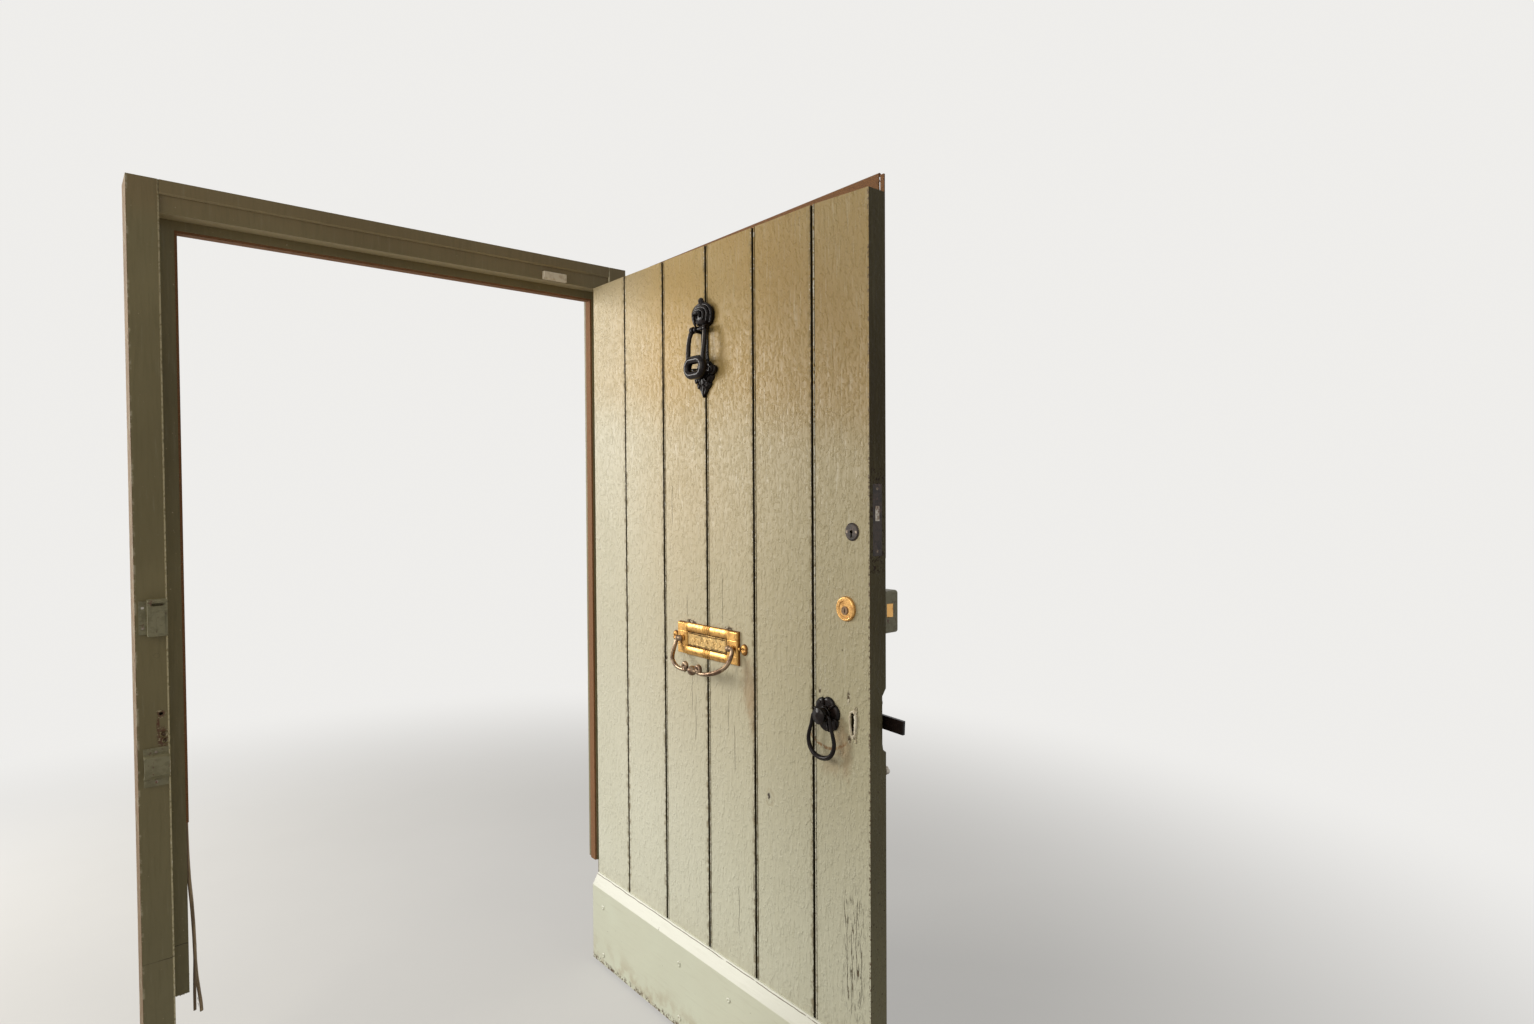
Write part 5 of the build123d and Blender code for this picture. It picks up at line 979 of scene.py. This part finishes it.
def loose_strip():
    """The loose seal: a curved strip off its stop, split into two ribbons that part towards the floor."""
    dice = random.Random(3)
    low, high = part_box("loose_seal")
    x0, y0 = -STOP_X, (low[1] + high[1]) / 2 / MM + 1.2
    shape = Shape()
    common = [(600, 0), (560, 0.7), (520, 1.6), (470, 3.6), (420, 7), (370, 9.4), (330, 10.6), (310, 11)]
    for strand, way in ((-1, [(290, 10.6), (250, 9.6), (215, 9.2), (192, 9.2)]),
                        (1, [(290, 11.6), (260, 13.4), (225, 17), (200, 19.8), (182, 20.8)])):
        points = [(x0 + 2.5 + drift + 0.4 * strand, y0 + strand * 3.5, z) for z, drift in common + way]
        line = smooth_path(points, 6)
        rings = []
        for k, p in enumerate(line):
            t = k / (len(line) - 1)
            wide = 3.3 * (1 - 0.2 * t) + 0.3 * sin(k * 0.9)
            thick = 3.4 * (1 - 0.2 * t)
            lean = 0.9 + 0.3 * strand * t
            ring = []
            for a in circle(10):
                across = wide * rounded(cos(a), 0.5)
                deep = thick * sin(a) - 0.8 * (across / wide) ** 2
                ring.append((p.x + deep + across * lean * 0.4, p.y + across, p.z))
            rings.append(ring)
        shape.loft(rings)
    for _ in range(9):
        z = dice.uniform(200, 420)
        drift = between(((182, 15), (310, 11), (420, 7)), z)
        shape.tube([(x0 + 2.5 + drift, y0 + 1, z),
                    (x0 + drift + dice.uniform(0, 5), y0 + dice.uniform(-3, 3), z - 9)],
                   lambda t: 0.6 - 0.45 * t, sides=5)
    piece = shape.piece("loose_seal_strands", STRAND, "frame")
    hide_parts("loose_seal")


def splinters():
    """Rotten, torn wood at the lower end of the latch side stop; short where the kick board shuts."""
    dice = random.Random(19)
    shape = Shape()
    foot, kick_y = JAMB_FOOT_TOP, 69
    for _ in range(34):
        x = dice.uniform(-504, -479)
        y = dice.uniform(48, 88)
        top = foot + dice.uniform(2, 16)
        drop = dice.uniform(3, 17) * (1.3 if x > -488 else 0.7) if y > kick_y else dice.uniform(1.5, 5)
        width = dice.uniform(1.1, 3)
        lean = dice.uniform(-1.2, 1.2)
        path = [(x, y, top), (x + lean * 0.3, y, foot - drop * 0.4), (x + lean, y + dice.uniform(-1, 1), foot - drop)]
        shape.tube(path, lambda t: width * (1 - t) ** 0.7 + 0.15, sides=6, squash=0.7)
    x = -STOP_X - 1.2
    for _ in range(22):
        z = foot + dice.uniform(4, 75) * dice.uniform(0.3, 1)
        y = dice.uniform(46.5, 60)
        length = dice.uniform(8, 26)
        shape.tube([(x, y, z), (x + dice.uniform(0.2, 1), y + dice.uniform(-0.6, 0.6), z + length / 2),
                    (x, y, z + length)], lambda t: 0.25 + 1 * swell(t), sides=5, squash=0.8)
    piece = shape.piece("stop_splinters", ROTTEN, "frame")


def paint_chips():
    """Curled flakes of old paint left along the latch jamb's inner arris."""
    dice = random.Random(23)
    shape = Shape()
    for _ in range(60):
        z = dice.choice((dice.uniform(120, 700), dice.uniform(300, 1500)))
        size = dice.uniform(0.7, 1.9)
        x, y = -OPEN_X - 0.8 - dice.uniform(0, 1.6), 1.3 + dice.uniform(-0.5, 0.8)
        shape.tube([(x, y, z - size * 2.4), (x + 0.3, y - 0.4, z), (x, y, z + size * 2.4)],
                   lambda t: 0.15 + size * 0.55 * swell(t), sides=6, squash=0.6)
    piece = shape.piece("jamb_flakes", CREAM, "frame")


def filled_screws():
    """Lumps of filler and paint over the kick board's screws, each with a chipped hollow."""
    dice = random.Random(31)
    shape = Shape((0, 0))
    for s in KICK_SCREW_S:
        for h in KICK_SCREW_H:
            turn = dice.uniform(0, 6.28)
            shape.loft([[(s + r * cos(a) * (1 + 0.14 * sin(2 * a + turn)),
                          h + r * sin(a) * (1 + 0.14 * sin(2 * a + turn)), z) for a in circle(20)]
                        for r, z in ((7, 19.9), (6.4, 20.9), (5, 21.9), (3.4, 22), (2.2, 20.9), (0.2, 20.3))])
    piece = shape.piece("kick_board_filler", SLOTS["kick_board_paint"], "leaf")


filled_screws()
knocker_base()
knocker_striker()
ring_handle()
letter_plate()
letter_flap()
letter_handle()
cylinder_ring()
old_keyhole()
top_cord()
loose_strip()
splinters()
paint_chips()


# Floor, light and camera

BACKGROUND = (0.86, 0.85, 0.83)


def area_light(name, place, target, side, power, color):
    lamp = bpy.data.lights.new(name, "AREA")
    lamp.shape = "RECTANGLE"
    lamp.size = lamp.size_y = side
    lamp.energy = power
    lamp.color = color
    thing = add_object(name, lamp)
    thing.location = place
    thing.rotation_euler = (Vector(target) - thing.location).to_track_quat("-Z", "Y").to_euler()


def end_seen(n, plain, seen):
    """Ends a tree in one shader, and in another for rays from the camera, from metal and through glass."""
    rays = n.tree.nodes.new("ShaderNodeLightPath")
    kinds = ("Is Camera Ray", "Is Glossy Ray", "Is Transmission Ray")
    share = n.most(*(rays.outputs[kind] for kind in kinds))
    pick = n.node("ShaderNodeMixShader", i0=share, i1=plain, i2=seen)
    n.tree.links.new(pick, n.output.inputs[0])


def make_floor():
    """A floor that fades into the background."""
    mesh = bpy.data.meshes.new("floor")
    far = FLOOR_HALF
    mesh.from_pydata([(-far, -far, 0), (far, -far, 0), (far, far, 0), (-far, far, 0)], [], [(0, 1, 2, 3)])
    floor = add_object("floor", mesh)
    n = Nodes("floor")
    away = n.node("ShaderNodeVectorMath", out="Value", settings={"operation": "LENGTH"}, i0=n.where)
    wear = n.blend(n.noise(3), (0.33, 0.325, 0.31), (0.36, 0.355, 0.34))
    lit = n.node("ShaderNodeAddShader", i0=n.node("ShaderNodeBsdfDiffuse", Color=wear),
                 i1=n.node("ShaderNodeEmission", Color=BACKGROUND, Strength=0.4))
    fade = n.node("ShaderNodeMixShader", i0=n.band(away, *FLOOR_FADE), i1=lit,
                  i2=n.node("ShaderNodeEmission", Color=BACKGROUND))
    end_seen(n, n.node("ShaderNodeBsdfDiffuse", Color=(0.5, 0.49, 0.47)), fade)
    mesh.materials.append(n.owner)


def make_world():
    n = Nodes("studio", world=True)
    bpy.context.scene.world = n.owner
    end_seen(n, n.node("ShaderNodeBackground", Color=(1, 0.95, 0.88), Strength=0.27),
             n.node("ShaderNodeBackground", Color=BACKGROUND, Strength=1))


def make_camera():
    lens = bpy.data.cameras.new("camera")
    lens.sensor_width = CAMERA_SENSOR
    lens.lens = CAMERA_LENS
    lens.clip_start, lens.clip_end = CAMERA_CLIP
    camera = add_object("camera", lens)
    yaw, pitch, roll = (radians(a) for a in (CAMERA_YAW, CAMERA_PITCH, CAMERA_ROLL))
    ahead = Vector((sin(yaw) * cos(pitch), cos(yaw) * cos(pitch), -sin(pitch)))
    right = Vector((cos(yaw), -sin(yaw), 0))
    up = right.cross(ahead)
    side = right * cos(roll) + up * sin(roll)
    top = up * cos(roll) - right * sin(roll)
    camera.matrix_world = Matrix.Translation(CAMERA_AT) @ Matrix((side, top, -ahead)).transposed().to_4x4()
    bpy.context.scene.camera = camera


make_floor()
make_world()
area_light("daylight", (-2, 2.2, 1.85), (0.45, -0.5, 0.85), 1.4, 96, (1, 0.98, 0.95))
area_light("room", (-2.7, -0.6, 2.2), (0.3, -0.4, 0.7), 2, 34, (1, 0.93, 0.82))
make_camera()

bpy.context.scene.view_settings.view_transform = "Standard"
